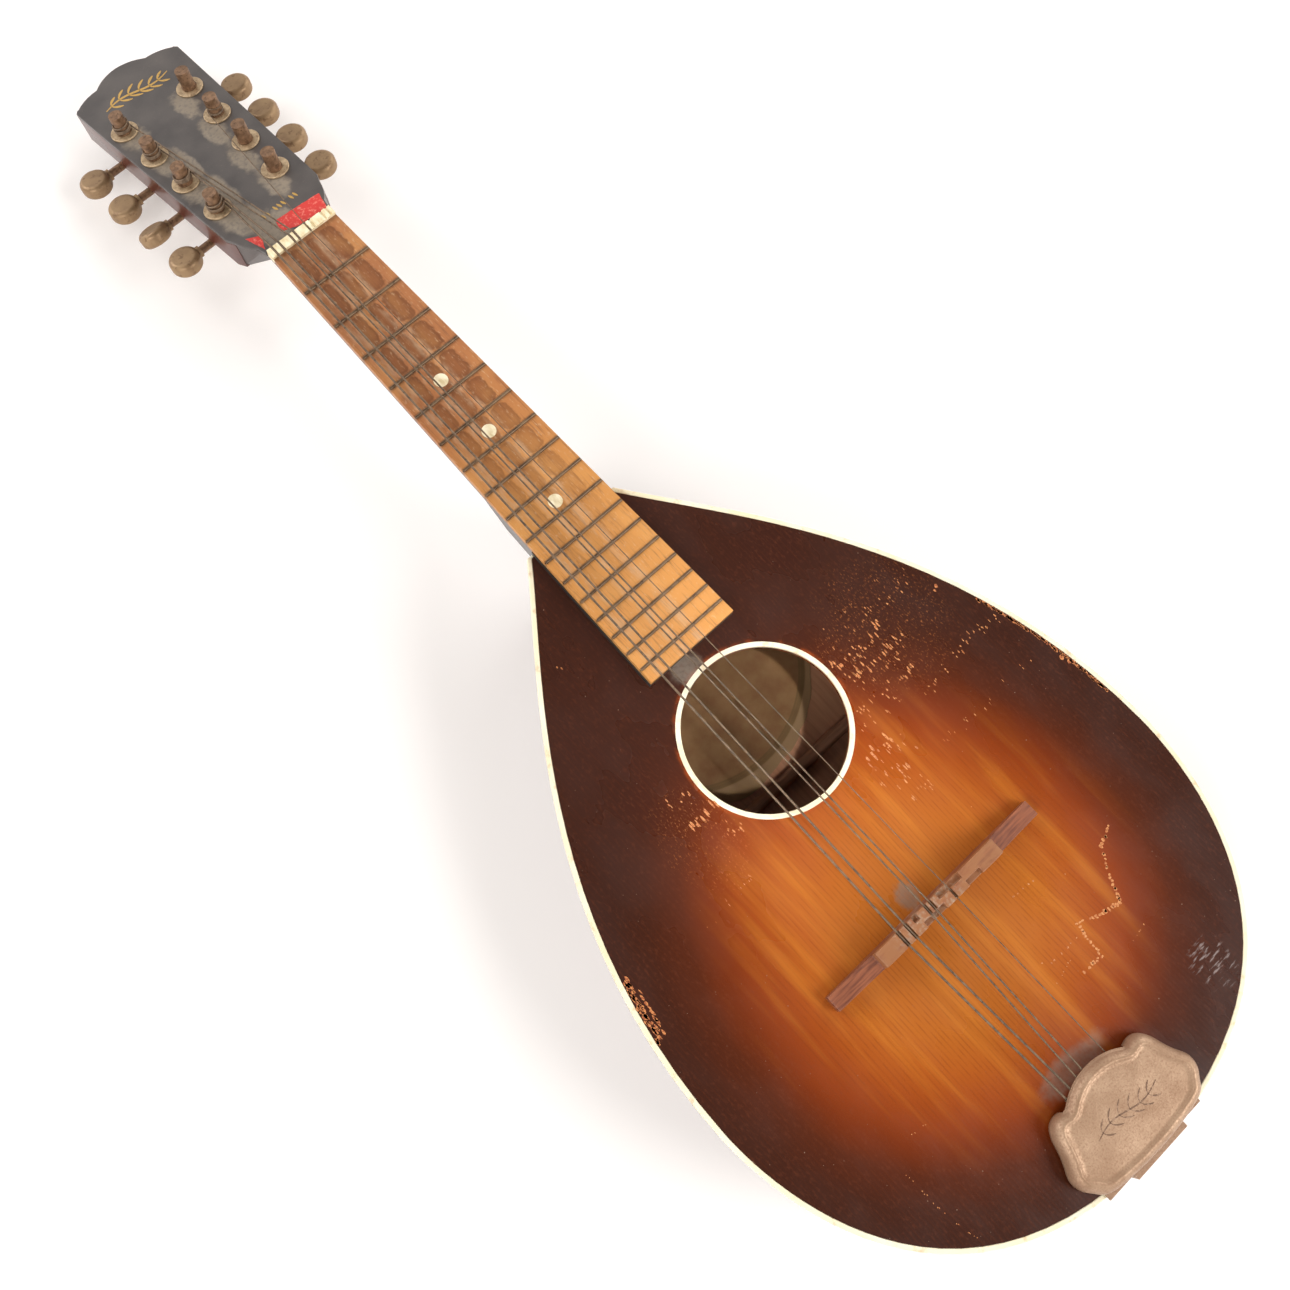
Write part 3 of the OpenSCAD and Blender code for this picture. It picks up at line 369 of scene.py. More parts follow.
def fretboard_material():
    sh = Shader("worn_fretboard", roughness=0.5, coat=0.08, coat_roughness=0.3)
    along = sh.band(sh.u, 0.0, 230.0)
    base = sh.ramp(along, [(0.0, srgb(160, 102, 60)), (0.35, srgb(166, 104, 58)), (0.7, srgb(194, 132, 66)),
                           (1.0, srgb(206, 142, 72))])
    pores = sh.noise(0.7, stretch=(1, 16, 1), detail=5, seed=3)
    base = sh.mix(sh.band(pores, 0.5, 0.72, (0.0, 0.5)), base, srgb(108, 66, 40))
    cloud = sh.noise(11, stretch=(1, 2, 1), detail=3, seed=8)
    base = sh.mix(sh.band(cloud, 0.45, 0.7, (0.0, 0.3)), base, srgb(214, 156, 88))

    # Fret spaces: log2 turns the place along the string into a fret number
    left = sh.math("SUBTRACT", 1.0, sh.math("DIVIDE", sh.u, SCALE_LENGTH))
    fret = sh.math("MULTIPLY", sh.math("LOGARITHM", left, 2.0), -12.0)
    place = sh.math("FRACT", fret)
    fade = sh.band(fret, 15.0, 3.0)
    rings = None
    for centre, half in ((-7.6, 2.6), (0.2, 2.9), (7.6, 4.0)):
        side = 1 if centre > 1 else -1 if centre < 0 else 0
        shifted = sh.math("MULTIPLY_ADD", sh.u, 0.012 * side, centre)
        dv = sh.math("DIVIDE", sh.math("SUBTRACT", sh.v, shifted), half)
        df = sh.math("DIVIDE", sh.math("SUBTRACT", place, 0.5), 0.43)
        r = sh.math("SQRT", sh.math("ADD", sh.math("POWER", sh.math("ABSOLUTE", dv), 3.0),
                                    sh.math("POWER", sh.math("ABSOLUTE", df), 5.0)))
        edge = sh.noise(2.2, detail=4, seed=centre + 9)
        r = sh.math("ADD", r, sh.math("MULTIPLY_ADD", edge, 0.9, -0.45))
        rim = sh.band(r, 1.1, 0.8, (0.0, 0.66))
        core = sh.band(r, 0.1, 0.8)
        oval = sh.math("MULTIPLY", rim, sh.math("MULTIPLY_ADD", core, 0.3, 0.7))
        rings = oval if rings is None else sh.math("MAXIMUM", rings, oval)
    stain = sh.product(rings, fade)
    colour = sh.mix(stain, base, srgb(92, 50, 28))

    patchy = sh.band(sh.noise(2.4, stretch=(1, 3, 1), seed=12), 0.35, 0.7)
    lines = sh.product(course_dust(sh, 1.4, 1.8), patchy, 0.5)
    colour = sh.mix(lines, colour, srgb(188, 156, 124))
    # Painted shade: the board is darkened in a narrow band on both sides of each fret, where the frets cast
    # shadow.
    fret_shade = sh.band(sh.math("ABSOLUTE", sh.math("SUBTRACT", place, 0.5)), 0.38, 0.49)
    colour = sh.mix(sh.math("MULTIPLY", fret_shade, 0.55), colour, srgb(98, 68, 46))
    speck = sh.noise(0.8, stretch=(1, 3, 1), detail=5, seed=31)
    colour = sh.mix(sh.band(speck, 0.55, 0.75, (0.0, 0.4)), colour, srgb(210, 176, 138))
    sh.colour(colour)
    sh.rough(sh.band(stain, 0.0, 0.6, (0.56, 0.42)))
    sh.bump(sh.math("ADD", pores, sh.math("MULTIPLY", stain, -0.6)), 0.06, 0.5)
    return sh.mat


# Dust on the head's face: place along and across the head, and the patch's half length and width
DUST_SPOTS = [(27, -14, 15, 8), (52, -15, 13, 8), (75, -16, 13, 7), (98, -17, 11, 7), (42, -8, 16, 4),
              (66, -9, 14, 3), (29, 9, 13, 6), (50, 8, 13, 6), (72, 8, 13, 6), (96, 9, 11, 6), (8, -7, 14, 7),
              (20, -9, 14, 6), (10, 0, 8, 5)]


def veneer_material():
    sh = Shader("black_head_face", roughness=0.36, coat=0.15, coat_roughness=0.3)
    face = sh.noise(0.9, detail=6, seed=2)
    cloud = sh.noise(14, detail=3, seed=5)
    colour = sh.ramp(cloud, [(0.3, srgb(66, 60, 58)), (0.7, srgb(82, 75, 71))])
    colour = sh.mix(sh.band(face, 0.58, 0.8, (0.0, 0.35)), colour, srgb(116, 102, 90))
    dust = None
    for s, v, half_s, half_v in DUST_SPOTS:
        place = on_head(s, v) / MM
        spot = sh.ellipse(NUT_Y / MM - place.y, v, half_s, half_v, seed=s, ragged=0.9)
        dust = spot if dust is None else sh.math("MAXIMUM", dust, spot)
    dust = sh.product(dust, sh.band(sh.noise(1.5, detail=6, seed=1), 0.2, 0.6, (0.4, 1.0)), 0.8)
    colour = sh.mix(dust, colour, srgb(148, 134, 116))
    sh.colour(colour)
    sh.rough(sh.math("ADD", sh.band(cloud, 0.3, 0.7, (0.34, 0.5)), sh.math("MULTIPLY", dust, 0.4)))
    sh.bump(face, 0.03, 0.4)
    return sh.mat


def metal_material(name, light, dark, tarnish, roughness=0.38, metallic=0.85, size=4.0):
    """Old plated metal: a cloudy body colour, tarnish in patches and fine scratches."""
    sh = Shader(name, roughness=roughness, metallic=metallic)
    cloud = sh.noise(size, detail=4, seed=7)
    colour = sh.ramp(cloud, [(0.32, dark), (0.68, light)])
    patches = sh.band(sh.noise(size * 0.6, detail=6, seed=3), 0.55, 0.68, (0.0, 0.7))
    colour = sh.mix(patches, colour, tarnish)
    sh.colour(colour)
    sh.rough(sh.math("ADD", sh.band(cloud, 0.3, 0.7, (roughness - 0.08, roughness + 0.12)),
                     sh.math("MULTIPLY", patches, 0.15)))
    fine = sh.noise(0.35, stretch=(1, 4, 1), detail=5, seed=13)
    sh.bump(fine, 0.02, 0.35)
    return sh.mat


def cover_material():
    sh = Shader("worn_nickel_cover", roughness=0.55, metallic=0.35)
    cloud = sh.noise(9, detail=5, seed=7)
    colour = sh.ramp(cloud, [(0.3, srgb(156, 123, 96)), (0.7, srgb(184, 152, 124))])
    grain = sh.noise(0.75, detail=5, seed=3)
    colour = sh.mix(sh.band(grain, 0.45, 0.7, (0.0, 0.55)), colour, srgb(140, 104, 78))
    # Painted shade: the cover is darkened towards the lower edge of its rim, next to the soundboard.
    rim = sh.band(sh.z, FACE_Z / MM + 7.9, FACE_Z / MM + 6.0)
    colour = sh.mix(sh.math("MULTIPLY", rim, 0.35), colour, srgb(134, 98, 76))
    sh.colour(colour)
    sh.rough(sh.band(grain, 0.4, 0.7, (0.42, 0.62)))
    sh.bump(sh.math("ADD", sh.noise(0.9, detail=4, seed=21), grain), 0.09, 0.6)
    return sh.mat


def bridge_material():
    sh = Shader("bridge_wood", roughness=0.5, coat=0.1, coat_roughness=0.3)
    grain = sh.noise(1.0, stretch=(14, 1, 2), detail=5, seed=4)
    colour = sh.ramp(grain, [(0.3, srgb(98, 48, 30)), (0.7, srgb(152, 88, 56))])
    raised = sh.strip(0.0, 30.0, 1.0)
    worn = sh.product(raised, sh.band(sh.z, FACE_Z / MM + 7.6, FACE_Z / MM + 9.0),
                      sh.band(sh.noise(2.4, stretch=(3, 1, 1), detail=4, seed=8), 0.3, 0.55, (0.45, 1.0)))
    colour = sh.mix(worn, colour, srgb(150, 98, 60))
    patchy = sh.band(sh.noise(1.5, detail=5, seed=15), 0.45, 0.65, (0.0, 0.55))
    dusty = sh.product(sh.strip(-6.0, 11.0, 8.0), patchy)
    colour = sh.mix(dusty, colour, srgb(166, 146, 126))
    sh.colour(colour)
    sh.bump(grain, 0.08, 0.5)
    return sh.mat


def label_material():
    sh = Shader("label_paper", roughness=0.8)
    du = sh.math("SUBTRACT", sh.u, LABEL_U)
    dv = sh.math("SUBTRACT", sh.v, LABEL_V)
    r = sh.length(du, dv)
    cloud = sh.noise(10, detail=5, seed=2)
    colour = sh.ramp(cloud, [(0.3, srgb(134, 92, 56)), (0.7, srgb(160, 118, 76))])
    margin = sh.band(r, 53.0, 54.5)
    colour = sh.mix(margin, colour, srgb(166, 130, 90))
    for radius, width in ((51.4, 0.3), (52.8, 0.7)):
        ring = sh.strip(radius, width, 0.3, r)
        colour = sh.mix(sh.math("MULTIPLY", ring, 0.6), colour, srgb(110, 88, 50))
    sh.colour(colour)
    sh.bump(sh.noise(2.0, detail=4, seed=3), 0.1, 0.4)
    return sh.mat


def plain_wood(name, deep, light, along=(1, 12, 1)):
    sh = Shader(name, roughness=0.72)
    grain = sh.noise(1.4, stretch=along, detail=5, seed=3)
    sh.colour(sh.ramp(grain, [(0.3, deep), (0.7, light)]))
    sh.bump(grain, 0.1, 0.5)
    return sh.mat


def paint_material(name, base, worn, roughness=0.6, metallic=0.0, size=1.5, share=(0.52, 0.62)):
    """A thin layer of colour that is rubbed through in spots."""
    sh = Shader(name, roughness=roughness, metallic=metallic)
    rub = sh.band(sh.noise(size, detail=5, seed=6), share[0], share[1])
    sh.colour(sh.mix(rub, base, worn))
    sh.bump(sh.noise(0.5, detail=4, seed=2), 0.02, 0.4)
    return sh.mat


# ---- Geometry helpers ---------------------------------------------------------------------------
def link_object(name, mesh, body, material):
    obj = bpy.data.objects.new(name, mesh)
    bpy.context.scene.collection.objects.link(obj)
    mesh.materials.clear()
    mesh.materials.append(material)
    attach(obj, body)
    return obj


def smooth(mesh, angle=34):
    mesh.shade_smooth()
    mesh.set_sharp_from_angle(angle=math.radians(angle))


def refined(node, material, width=0.3, segments=2, angle=34):
    """A copy of a CAD node with its sharp edges rounded, standing in for the node."""
    source = nodes[node]
    mesh = source.data.copy()
    bm = bmesh.new()
    bm.from_mesh(mesh)
    bmesh.ops.remove_doubles(bm, verts=bm.verts, dist=2e-6)
    bmesh.ops.dissolve_limit(bm, angle_limit=math.radians(0.3), verts=bm.verts, edges=bm.edges)
    bm.to_mesh(mesh)
    bm.free()
    body = source["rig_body"]
    obj = link_object(node + ".finish", mesh, body, material)
    for name in [a.name for a in mesh.attributes if a.name.startswith("custom_normal")]:
        mesh.attributes.remove(mesh.attributes[name])
    smooth(mesh, angle)
    if width:
        bevel = obj.modifiers.new("edges", "BEVEL")
        bevel.width = width * MM
        bevel.segments = segments
        bevel.limit_method = "ANGLE"
        bevel.angle_limit = math.radians(angle)
        bevel.use_clamp_overlap = True
        bevel.harden_normals = True
    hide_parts(node)
    return obj


def dress(node, material):
    """Gives a CAD node a material and leaves its shape."""
    data = nodes[node].data
    data.materials.clear()
    data.materials.append(material)


def flake(bm, centre, along, across, length, width, thick, rng):
    """One small uneven closed chip: length runs along, width across, and it is thick mm high."""
    up = along.cross(across).normalized()
    if up.z < 0:
        up = -up
    ring = []
    sides = 7
    for k in range(sides):
        a = 2 * math.pi * k / sides
        grow = rng.uniform(0.7, 1.15)
        ring.append(centre + along * (math.cos(a) * length / 2 * grow * MM)
                    + across * (math.sin(a) * width / 2 * grow * MM))
    low = [bm.verts.new(p - up * 0.02 * MM) for p in ring]
    high = [bm.verts.new(p + up * thick * MM) for p in ring]
    bm.faces.new(high)
    bm.faces.new(low[::-1])
    for k in range(sides):
        j = (k + 1) % sides
        bm.faces.new((low[k], low[j], high[j], high[k]))


ALONG = Vector((0, 1, 0))
ACROSS = Vector((1, 0, 0))


def mesh_from(name, build):
    """A mesh filled by build(bm)."""
    bm = bmesh.new()
    build(bm)
    bmesh.ops.recalc_face_normals(bm, faces=bm.faces)
    mesh = bpy.data.meshes.new(name)
    bm.to_mesh(mesh)
    bm.free()
    return mesh


def stroke(path, half, thick, place):
    """Faces of a flat pen stroke with tapered ends; place turns its points into the row frame."""
    def build(bm):
        for points in path:
            lefts, rights = [], []
            n = len(points)
            for k, p in enumerate(points):
                a, b = points[max(0, k - 1)], points[min(n - 1, k + 1)]
                d = (b - a).normalized()
                w = half * (0.35 + 0.65 * math.sin(math.pi * k / (n - 1)))
                side = Vector((-d.y, d.x)) * w
                for row, q in ((lefts, p + side), (rights, p - side)):
                    row.append((bm.verts.new(place(q, 0)), bm.verts.new(place(q, thick))))
            for k in range(n - 1):
                (l0, l1), (m0, m1) = lefts[k], lefts[k + 1]
                (r0, r1), (s0, s1) = rights[k], rights[k + 1]
                for quad in ((l1, m1, s1, r1), (l0, r0, s0, m0), (l0, m0, m1, l1), (r0, r1, s1, s0)):
                    bm.faces.new(quad)
            for (l0, l1), (r0, r1) in ((lefts[0], rights[0]), (lefts[-1], rights[-1])):
                bm.faces.new((l0, l1, r1, r0))
    return build


def spray(length, height):
    """A plain leaf spray: a shallow S stem and pairs of small curved leaves, as lists of points."""
    def stem(t):
        return Vector(((t - 0.5) * length, math.sin((t - 0.5) * 2 * math.pi) * height * 0.16))
    strokes = [[stem(k / 24) for k in range(25)]]
    for k in range(1, 7):
        t = k / 7
        for sign in (-1, 1):
            root = stem(t - 0.04)
            size = height * 0.5 * (1 - 0.5 * abs(t - 0.5))
            leaf = []
            for j in range(9):
                r = j / 8
                leaf.append(root + Vector((size * 0.9 * r, sign * size * (r ** 0.6) * (1 - 0.15 * r))))
            strokes.append(leaf)
    return strokes


# ---- Body ---------------------------------------------------------------------------------------
LABEL_U, LABEL_V = 219.5, 4.0

cream = binding_material()
bone = bone_material()
varnish = dark_wood("dark_varnish", srgb(44, 22, 16), srgb(84, 42, 28))
back_wood = back_material()
inner_wood = plain_wood("inner_spruce", srgb(120, 80, 52), srgb(168, 122, 84), along=(10, 1, 1))
top_wood = soundboard_material()

dress("top", top_wood)
refined("top_binding", cream, width=0.55, segments=3)
refined("sound_hole_ring", cream, width=0.2)
refined("sides", varnish, width=0)
refined("back", back_wood, width=0.2)
refined("back_binding", varnish, width=0.5)
for name in ("linings", "neck_block", "tail_block", "top_braces"):
    dress(name, inner_wood)
brace_wood = plain_wood("brace_wood", srgb(150, 100, 74), srgb(190, 138, 106), along=(12, 1, 1))
refined("back_braces", brace_wood, width=0.2)


# Points of the soundboard nearer to the hole's centre than this are the hole's own edge
HOLE_CLEAR = 40 * MM


def half_width(u):
    """Half the soundboard's width, in mm, at u."""
    y = NUT_Y - u * MM
    corners = [v.co for v in nodes["top"].data.vertices]
    edge = [(c.y, c.x) for c in corners if c.x > 0 and (c - HOLE).length > HOLE_CLEAR]
    above = min((e for e in edge if e[0] >= y), default=max(edge))
    below = max((e for e in edge if e[0] <= y), default=min(edge))
    t = 0 if above[0] == below[0] else (y - below[0]) / (above[0] - below[0])
    return (below[1] + (above[1] - below[1]) * t) / MM


# Rows of pick marks: u and v of the start, u and v of the end, sag, share of dashes, size
PICK_ROWS = [
    (252, 44, 252, 72, 1, 0.35, 0.5), (257, 42, 257, 84, 2, 0.3, 0.45), (261, 40, 260, 82, 1, 0.5, 0.55),
    (265, 36, 266, 61, 2, 0.9, 1.0), (269, 36, 269, 56, 1, 0.5, 0.6), (274, 36, 273, 67, 1, 0.9, 1.0),
    (278, 35, 279, 62, 1, 0.5, 0.6), (284, 31, 285, 58, 1, 0.8, 0.9), (290, 27, 290, 52, 1, 0.4, 0.6),
    (299, 53, 294, 97, -3, 0.65, 0.7), (298, 21, 299, 32, 1, 1.0, 1.4), (303, 20, 303, 36, 0, 0.5, 0.8),
    (309, 18, 309, 37, 1, 0.7, 1.0), (315, 20, 316, 34, 0, 0.5, 0.9), (321, 23, 321, 36, 0, 0.35, 0.8),
    (315, 47, 313, 95, 1, 0.25, 0.5), (328, 30, 330, 38, 0, 0.3, 0.6), (336, 28, 338, 36, 0, 0.3, 0.5),
    (262, -47, 263, -38, 0, 0.8, 0.8), (268, -44, 268, -36, 0, 0.4, 0.6), (274, -46, 273, -33, 0, 1.0, 1.2),
    (285, -38, 285, -31, 0, 0.8, 0.9), (280, -42, 279, -34, 0, 0.5, 0.6), (303, -66, 298, -32, 2, 0.25, 0.4),
]
# Wandering scratches: points (u, v), share of chips, size
WANDERS = [
    ([(378, 70.5), (381, 62.5), (390, 57), (400, 52.5), (398, 44.5), (394, 35), (400.5, 33.7), (408, 33),
      (407.5, 23.5)], 0.97, 1.25),
    ([(392.5, 13.2), (397, 16), (397.5, 32)], 0.55, 0.8), ([(371, 23.5), (373, 35)], 0.6, 0.6),
    ([(413.5, 42), (411, 55)], 0.5, 0.5), ([(404, 12.5), (401, 24)], 0.3, 0.5),
    ([(376, 40), (379, 45)], 0.5, 0.5), ([(410, -73), (430, -71.7), (444, -69)], 0.6, 0.45),
    ([(196, -42), (199, -41)], 0.8, 0.8), ([(403, -62), (404.5, -54)], 0.5, 0.4),
]


MARK_THICK, CHIP_THICK = 0.03, 0.04


def add_marks(bm):
    rng = random.Random(7)
    for u0, v0, u1, v1, sag, share, size in PICK_ROWS:
        steps = max(2, int(abs(v1 - v0) / GRAIN))
        for k in range(steps + 1):
            if rng.random() > share:
                continue
            t = k / steps
            u = u0 + (u1 - u0) * t + sag * 4 * t * (1 - t) + rng.uniform(-0.7, 0.7)
            v = v0 + (v1 - v0) * t + rng.uniform(-0.25, 0.25)
            for _ in range(rng.choice((1, 1, 2, 3))):
                place = at(u + rng.uniform(-1.8, 1.8), v + rng.uniform(-0.7, 0.7), FACE_Z)
                length = rng.uniform(0.7, 3.4) * size
                width = rng.uniform(0.35, 0.9) * size
                flake(bm, place, ALONG, ACROSS, length, width, MARK_THICK, rng)
    for points, share, size in WANDERS:
        for (u0, v0), (u1, v1) in zip(points, points[1:]):
            steps = max(1, int(math.hypot(u1 - u0, v1 - v0) / 1.15))
            for k in range(steps):
                if rng.random() > share:
                    continue
                t = (k + rng.random() * 0.5) / steps
                u = u0 + (u1 - u0) * t + rng.uniform(-0.35, 0.35)
                v = v0 + (v1 - v0) * t + rng.uniform(-0.35, 0.35)
                length = rng.uniform(0.7, 1.7) * size
                width = rng.uniform(0.6, 1.3) * size
                flake(bm, at(u, v, FACE_Z), ALONG, ACROSS, length, width, MARK_THICK, rng)


def add_chips(bm):
    rng = random.Random(19)
    for k in range(70):
        u = rng.uniform(297, 321)
        v = -half_width(u) + rng.uniform(0.6, 4.4) * (1 if k % 3 else 0.4)
        length, width = rng.uniform(1.0, 3.4), rng.uniform(0.5, 1.4)
        flake(bm, at(u, v, FACE_Z), ALONG, ACROSS, length, width, CHIP_THICK, rng)
    for k in range(150):
        u = rng.uniform(284, 343)
        v = half_width(u) - rng.uniform(0.3, 1.3)
        length, width = rng.uniform(0.8, 3.0), rng.uniform(0.35, 1.0)
        flake(bm, at(u, v, FACE_Z), ALONG, ACROSS, length, width, CHIP_THICK, rng)
    for u, v, size in ((269.5, 88.5, 2.0), (270.5, 86.8, 1.3), (322, 104.6, 2.6), (325, 105.5, 2.2)):
        flake(bm, at(u, v, FACE_Z), ALONG, ACROSS, size, size * 0.7, CHIP_THICK, rng)


bare = paint_material("bare_spruce_marks", srgb(206, 140, 84), srgb(170, 92, 42), size=0.7, share=(0.42, 0.6))
bare_edge = paint_material("bare_spruce_edge", srgb(200, 128, 72), srgb(146, 72, 34), size=0.9,
                           share=(0.42, 0.6))
link_object("pick_marks", mesh_from("pick_marks", add_marks), BODY, bare)
link_object("edge_chips", mesh_from("edge_chips", add_chips), BODY, bare_edge)


def add_label(bm):
    """A round paper label with a torn, curled rim, lying on the back."""
    rings, sides = 22, 120
    low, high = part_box("label")
    lip = 0.12 * MM
    rows = []
    for i in range(rings + 1):
        row = []
        for k in range(sides):
            a = 2 * math.pi * k / sides
            rag = mnoise.noise(Vector((math.cos(a) * 3.1, math.sin(a) * 3.1, 4))) * 1.6
            rag += mnoise.noise(Vector((math.cos(a) * 11, math.sin(a) * 11, 9))) * 0.8
            r = (59.2 + rag) * i / rings
            u, v = LABEL_U - math.cos(a) * r, math.sin(a) * r
            place = at(u, v, BACK_Z + 0.12 * MM)
            curl = max(0.0, (r - 50) / 10) ** 2 * (0.5 + 0.5 * mnoise.noise(Vector((a * 2, 1, 1))))
            place.z += curl * 1.1 * MM * max(0.0, -math.cos(a))
            place.y = max(low.y, min(high.y, place.y))
            room = max(4.0, half_width((NUT_Y - place.y) / MM) - 16.5) * MM
            place.x = max(low.x, -room, min(high.x, room, place.x))
            row.append(place)
        rows.append(row)
    top = [[bm.verts.new(p + Vector((0, 0, lip))) for p in row] for row in rows[1:]]
    under = [[bm.verts.new(p) for p in row] for row in rows[1:]]
    for sheet, flip in ((top, False), (under, True)):
        for inner, outer in zip(sheet, sheet[1:]):
            for k in range(sides):
                j = (k + 1) % sides
                quad = (inner[k], outer[k], outer[j], inner[j])
                bm.faces.new(quad[::-1] if flip else quad)
        bm.faces.new(sheet[0] if flip else sheet[0][::-1])
    for k in range(sides):
        j = (k + 1) % sides
        bm.faces.new((top[-1][k], under[-1][k], under[-1][j], top[-1][j]))


label = link_object("label_sheet", mesh_from("label_sheet", add_label), BODY, label_material())
smooth(label.data, 50)
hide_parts("label")

# ---- Neck and head --------------------------------------------------------------------------------
neck_wood = dark_wood("neck_varnish", srgb(30, 18, 14), srgb(58, 36, 28))
head_wood = dark_wood("head_varnish", srgb(56, 20, 14), srgb(92, 38, 26), roughness=0.28, coat=0.35)
black = dark_wood("black_strip", srgb(30, 27, 26), srgb(48, 43, 40), coat=0.2, roughness=0.42)
fret_metal = metal_material("fret_metal", srgb(132, 108, 82), srgb(96, 76, 58), srgb(72, 54, 40),
                            roughness=0.45, metallic=0.6)

refined("neck", neck_wood, width=0, angle=40)
refined("headstock", head_wood, width=0.5)
refined("head_veneer", veneer_material(), width=0.25)
refined("fretboard", fretboard_material(), width=0.12)
refined("fretboard_riser", black, width=0.15)
refined("nut", bone, width=0.15)
refined("frets", fret_metal, width=0)
dress("fret_dots", bone)


def on_face(s, v):
    """Places flat strokes on the head's face, round the point s mm from its nut end and v mm across."""
    return lambda q, lift: on_head(s - q.y, v + q.x, lift + 0.01)


def add_strip(corners, thick):
    """A thin glued strip with uneven edges between four corners, given as (s, v)."""
    def build(bm):
        rng = random.Random(5)
        outline = []
        for (s0, v0), (s1, v1) in zip(corners, corners[1:] + corners[:1]):
            steps = max(2, int(math.hypot(s1 - s0, v1 - v0) / 1.1))
            for k in range(steps):
                t = k / steps
                s = s0 + (s1 - s0) * t + rng.uniform(-0.12, 0.12)
                v = v0 + (v1 - v0) * t + rng.uniform(-0.12, 0.12)
                outline.append((s, v))
        low = [bm.verts.new(on_head(s, v, 0.0)) for s, v in outline]
        high = [bm.verts.new(on_head(s, v, thick)) for s, v in outline]
        bm.faces.new(high)
        bm.faces.new(low[::-1])
        for i in range(len(low)):
            j = (i + 1) % len(low)
            bm.faces.new((low[i], low[j], high[j], high[i]))
    return build


def head_piece(name, build, material):
    link_object(name, mesh_from(name, build), BODY, material)


gold = paint_material("gold_transfer", srgb(196, 156, 84), srgb(96, 80, 56), roughness=0.42, metallic=0.4,
                      size=0.8, share=(0.6, 0.7))
red = paint_material("red_strip", srgb(204, 48, 40), srgb(224, 120, 104), roughness=0.5, size=1.4,
                     share=(0.5, 0.7))
head_piece("head_ornament", stroke(spray(32, 11), 0.62, 0.05, on_face(121, -1)), gold)
head_piece("red_strip_treble", add_strip(
    [(0.4, 15.2), (9.4, 17.6), (11.2, -3.2), (4.6, -5.0), (1.6, 1.0)], 0.08), red)
head_piece("red_strip_bass", add_strip([(1.6, -15.0), (12.4, -17.4), (9.2, -12.0)], 0.08), red)
bars = []
for k in (0, 1, 3, 4, 5, 7, 8):
    x = -8.0 + 2.0 * k
    bars.append([Vector((x + 0.1 * j, -1.5 + 0.43 * j)) for j in range(8)])
head_piece("gold_bars", stroke(bars, 0.5, 0.05, on_face(16.6, 2.2)), gold)

# ---- Tuners ---------------------------------------------------------------------------------------
knob_metal = metal_material("knob_metal", srgb(158, 130, 96), srgb(138, 110, 80), srgb(116, 88, 64),
                            roughness=0.46, metallic=0.45)
post_metal = metal_material("post_metal", srgb(150, 116, 88), srgb(104, 78, 58), srgb(74, 52, 38),
                            roughness=0.42, metallic=0.5, size=2.0)
for side in "bt":
    for i in range(1, 5):
        tag = f"{side}{i}"
        refined("button_" + tag, knob_metal, width=0.15)
        refined("post_" + tag, post_metal, width=0.25)
        dress("worm_" + tag, post_metal)
        dress("gear_" + tag, post_metal)
ferrule_metal = metal_material("ferrule_metal", srgb(196, 172, 138), srgb(158, 132, 102),
                               srgb(120, 92, 68), metallic=0.5, size=2.0)
refined("ferrules", ferrule_metal, width=0.35)
dress("tuner_plates", knob_metal)
dress("tuner_screws", post_metal)

# ---- Bridge, tailpiece and strings ------------------------------------------------------------------
refined("bridge", bridge_material(), width=0.25)
tail_metal = cover_material()
refined("tailpiece_base", tail_metal, width=0.2)
dress("tailpiece_screws", post_metal)

COVER_FRONT, COVER_V = 428.3, -1.7
# The cover's treble half from its front middle: arcs from (v, u past the front) to (v, u), and bulge
COVER_ARCS = [((0, 0), (15.9, 5.3), 1.4), ((16.4, 4.9), (25.7, 9.0), 2.3), ((26.3, 10.4), (30.7, 21.2), -0.5),
              ((31.3, 22.7), (27.8, 31.2), 1.3), ((27.2, 32.4), (22.0, 35.3), 0.6),
              ((20.5, 35.7), (0, 37.2), 0.4)]


def cover_loop():
    """The cover's outline as evenly spaced points, anticlockwise seen from above, as (v, u)."""
    half = []
    for (v0, u0), (v1, u1), bulge in COVER_ARCS:
        length = math.hypot(v1 - v0, u1 - u0)
        for k in range(9):
            t = k / 8
            push = bulge * 4 * t * (1 - t) / length
            across, along = v1 - v0, u1 - u0
            half.append(Vector((v0 + across * t + along * push, u0 + along * t - across * push)))
    loop = half + [Vector((-p.x, p.y)) for p in half[-2:0:-1]]
    closed = loop + loop[:1]
    total = sum((b - a).length for a, b in zip(closed, closed[1:]))
    even, count, walked = [], 220, 0.0
    for a, b in zip(closed, closed[1:]):
        step = (b - a).length
        while len(even) < count and len(even) * total / count <= walked + step + 1e-9:
            even.append(a.lerp(b, (len(even) * total / count - walked) / max(step, 1e-9)))
        walked += step
    for _ in range(3):
        even = [(even[i - 1] + 2 * even[i] + even[(i + 1) % len(even)]) / 4 for i in range(len(even))]
    return even[::-1]


def inset(loop, distance):
    result = []
    for i, p in enumerate(loop):
        d = (loop[(i + 1) % len(loop)] - loop[i - 1]).normalized()
        result.append(p + Vector((d.y, -d.x)) * distance)
    return result


# The cover's rim from its lower edge to the flat panel: height above the soundboard and inset
RIM = [(2.0, 0.0), (3.4, 0.05), (4.6, 0.2), (5.6, 0.5), (6.4, 0.95), (7.1, 1.5), (7.7, 2.2), (8.05, 2.8),
       (8.2, 3.3), (8.1, 3.8), (7.85, 4.2), (7.65, 4.5)]


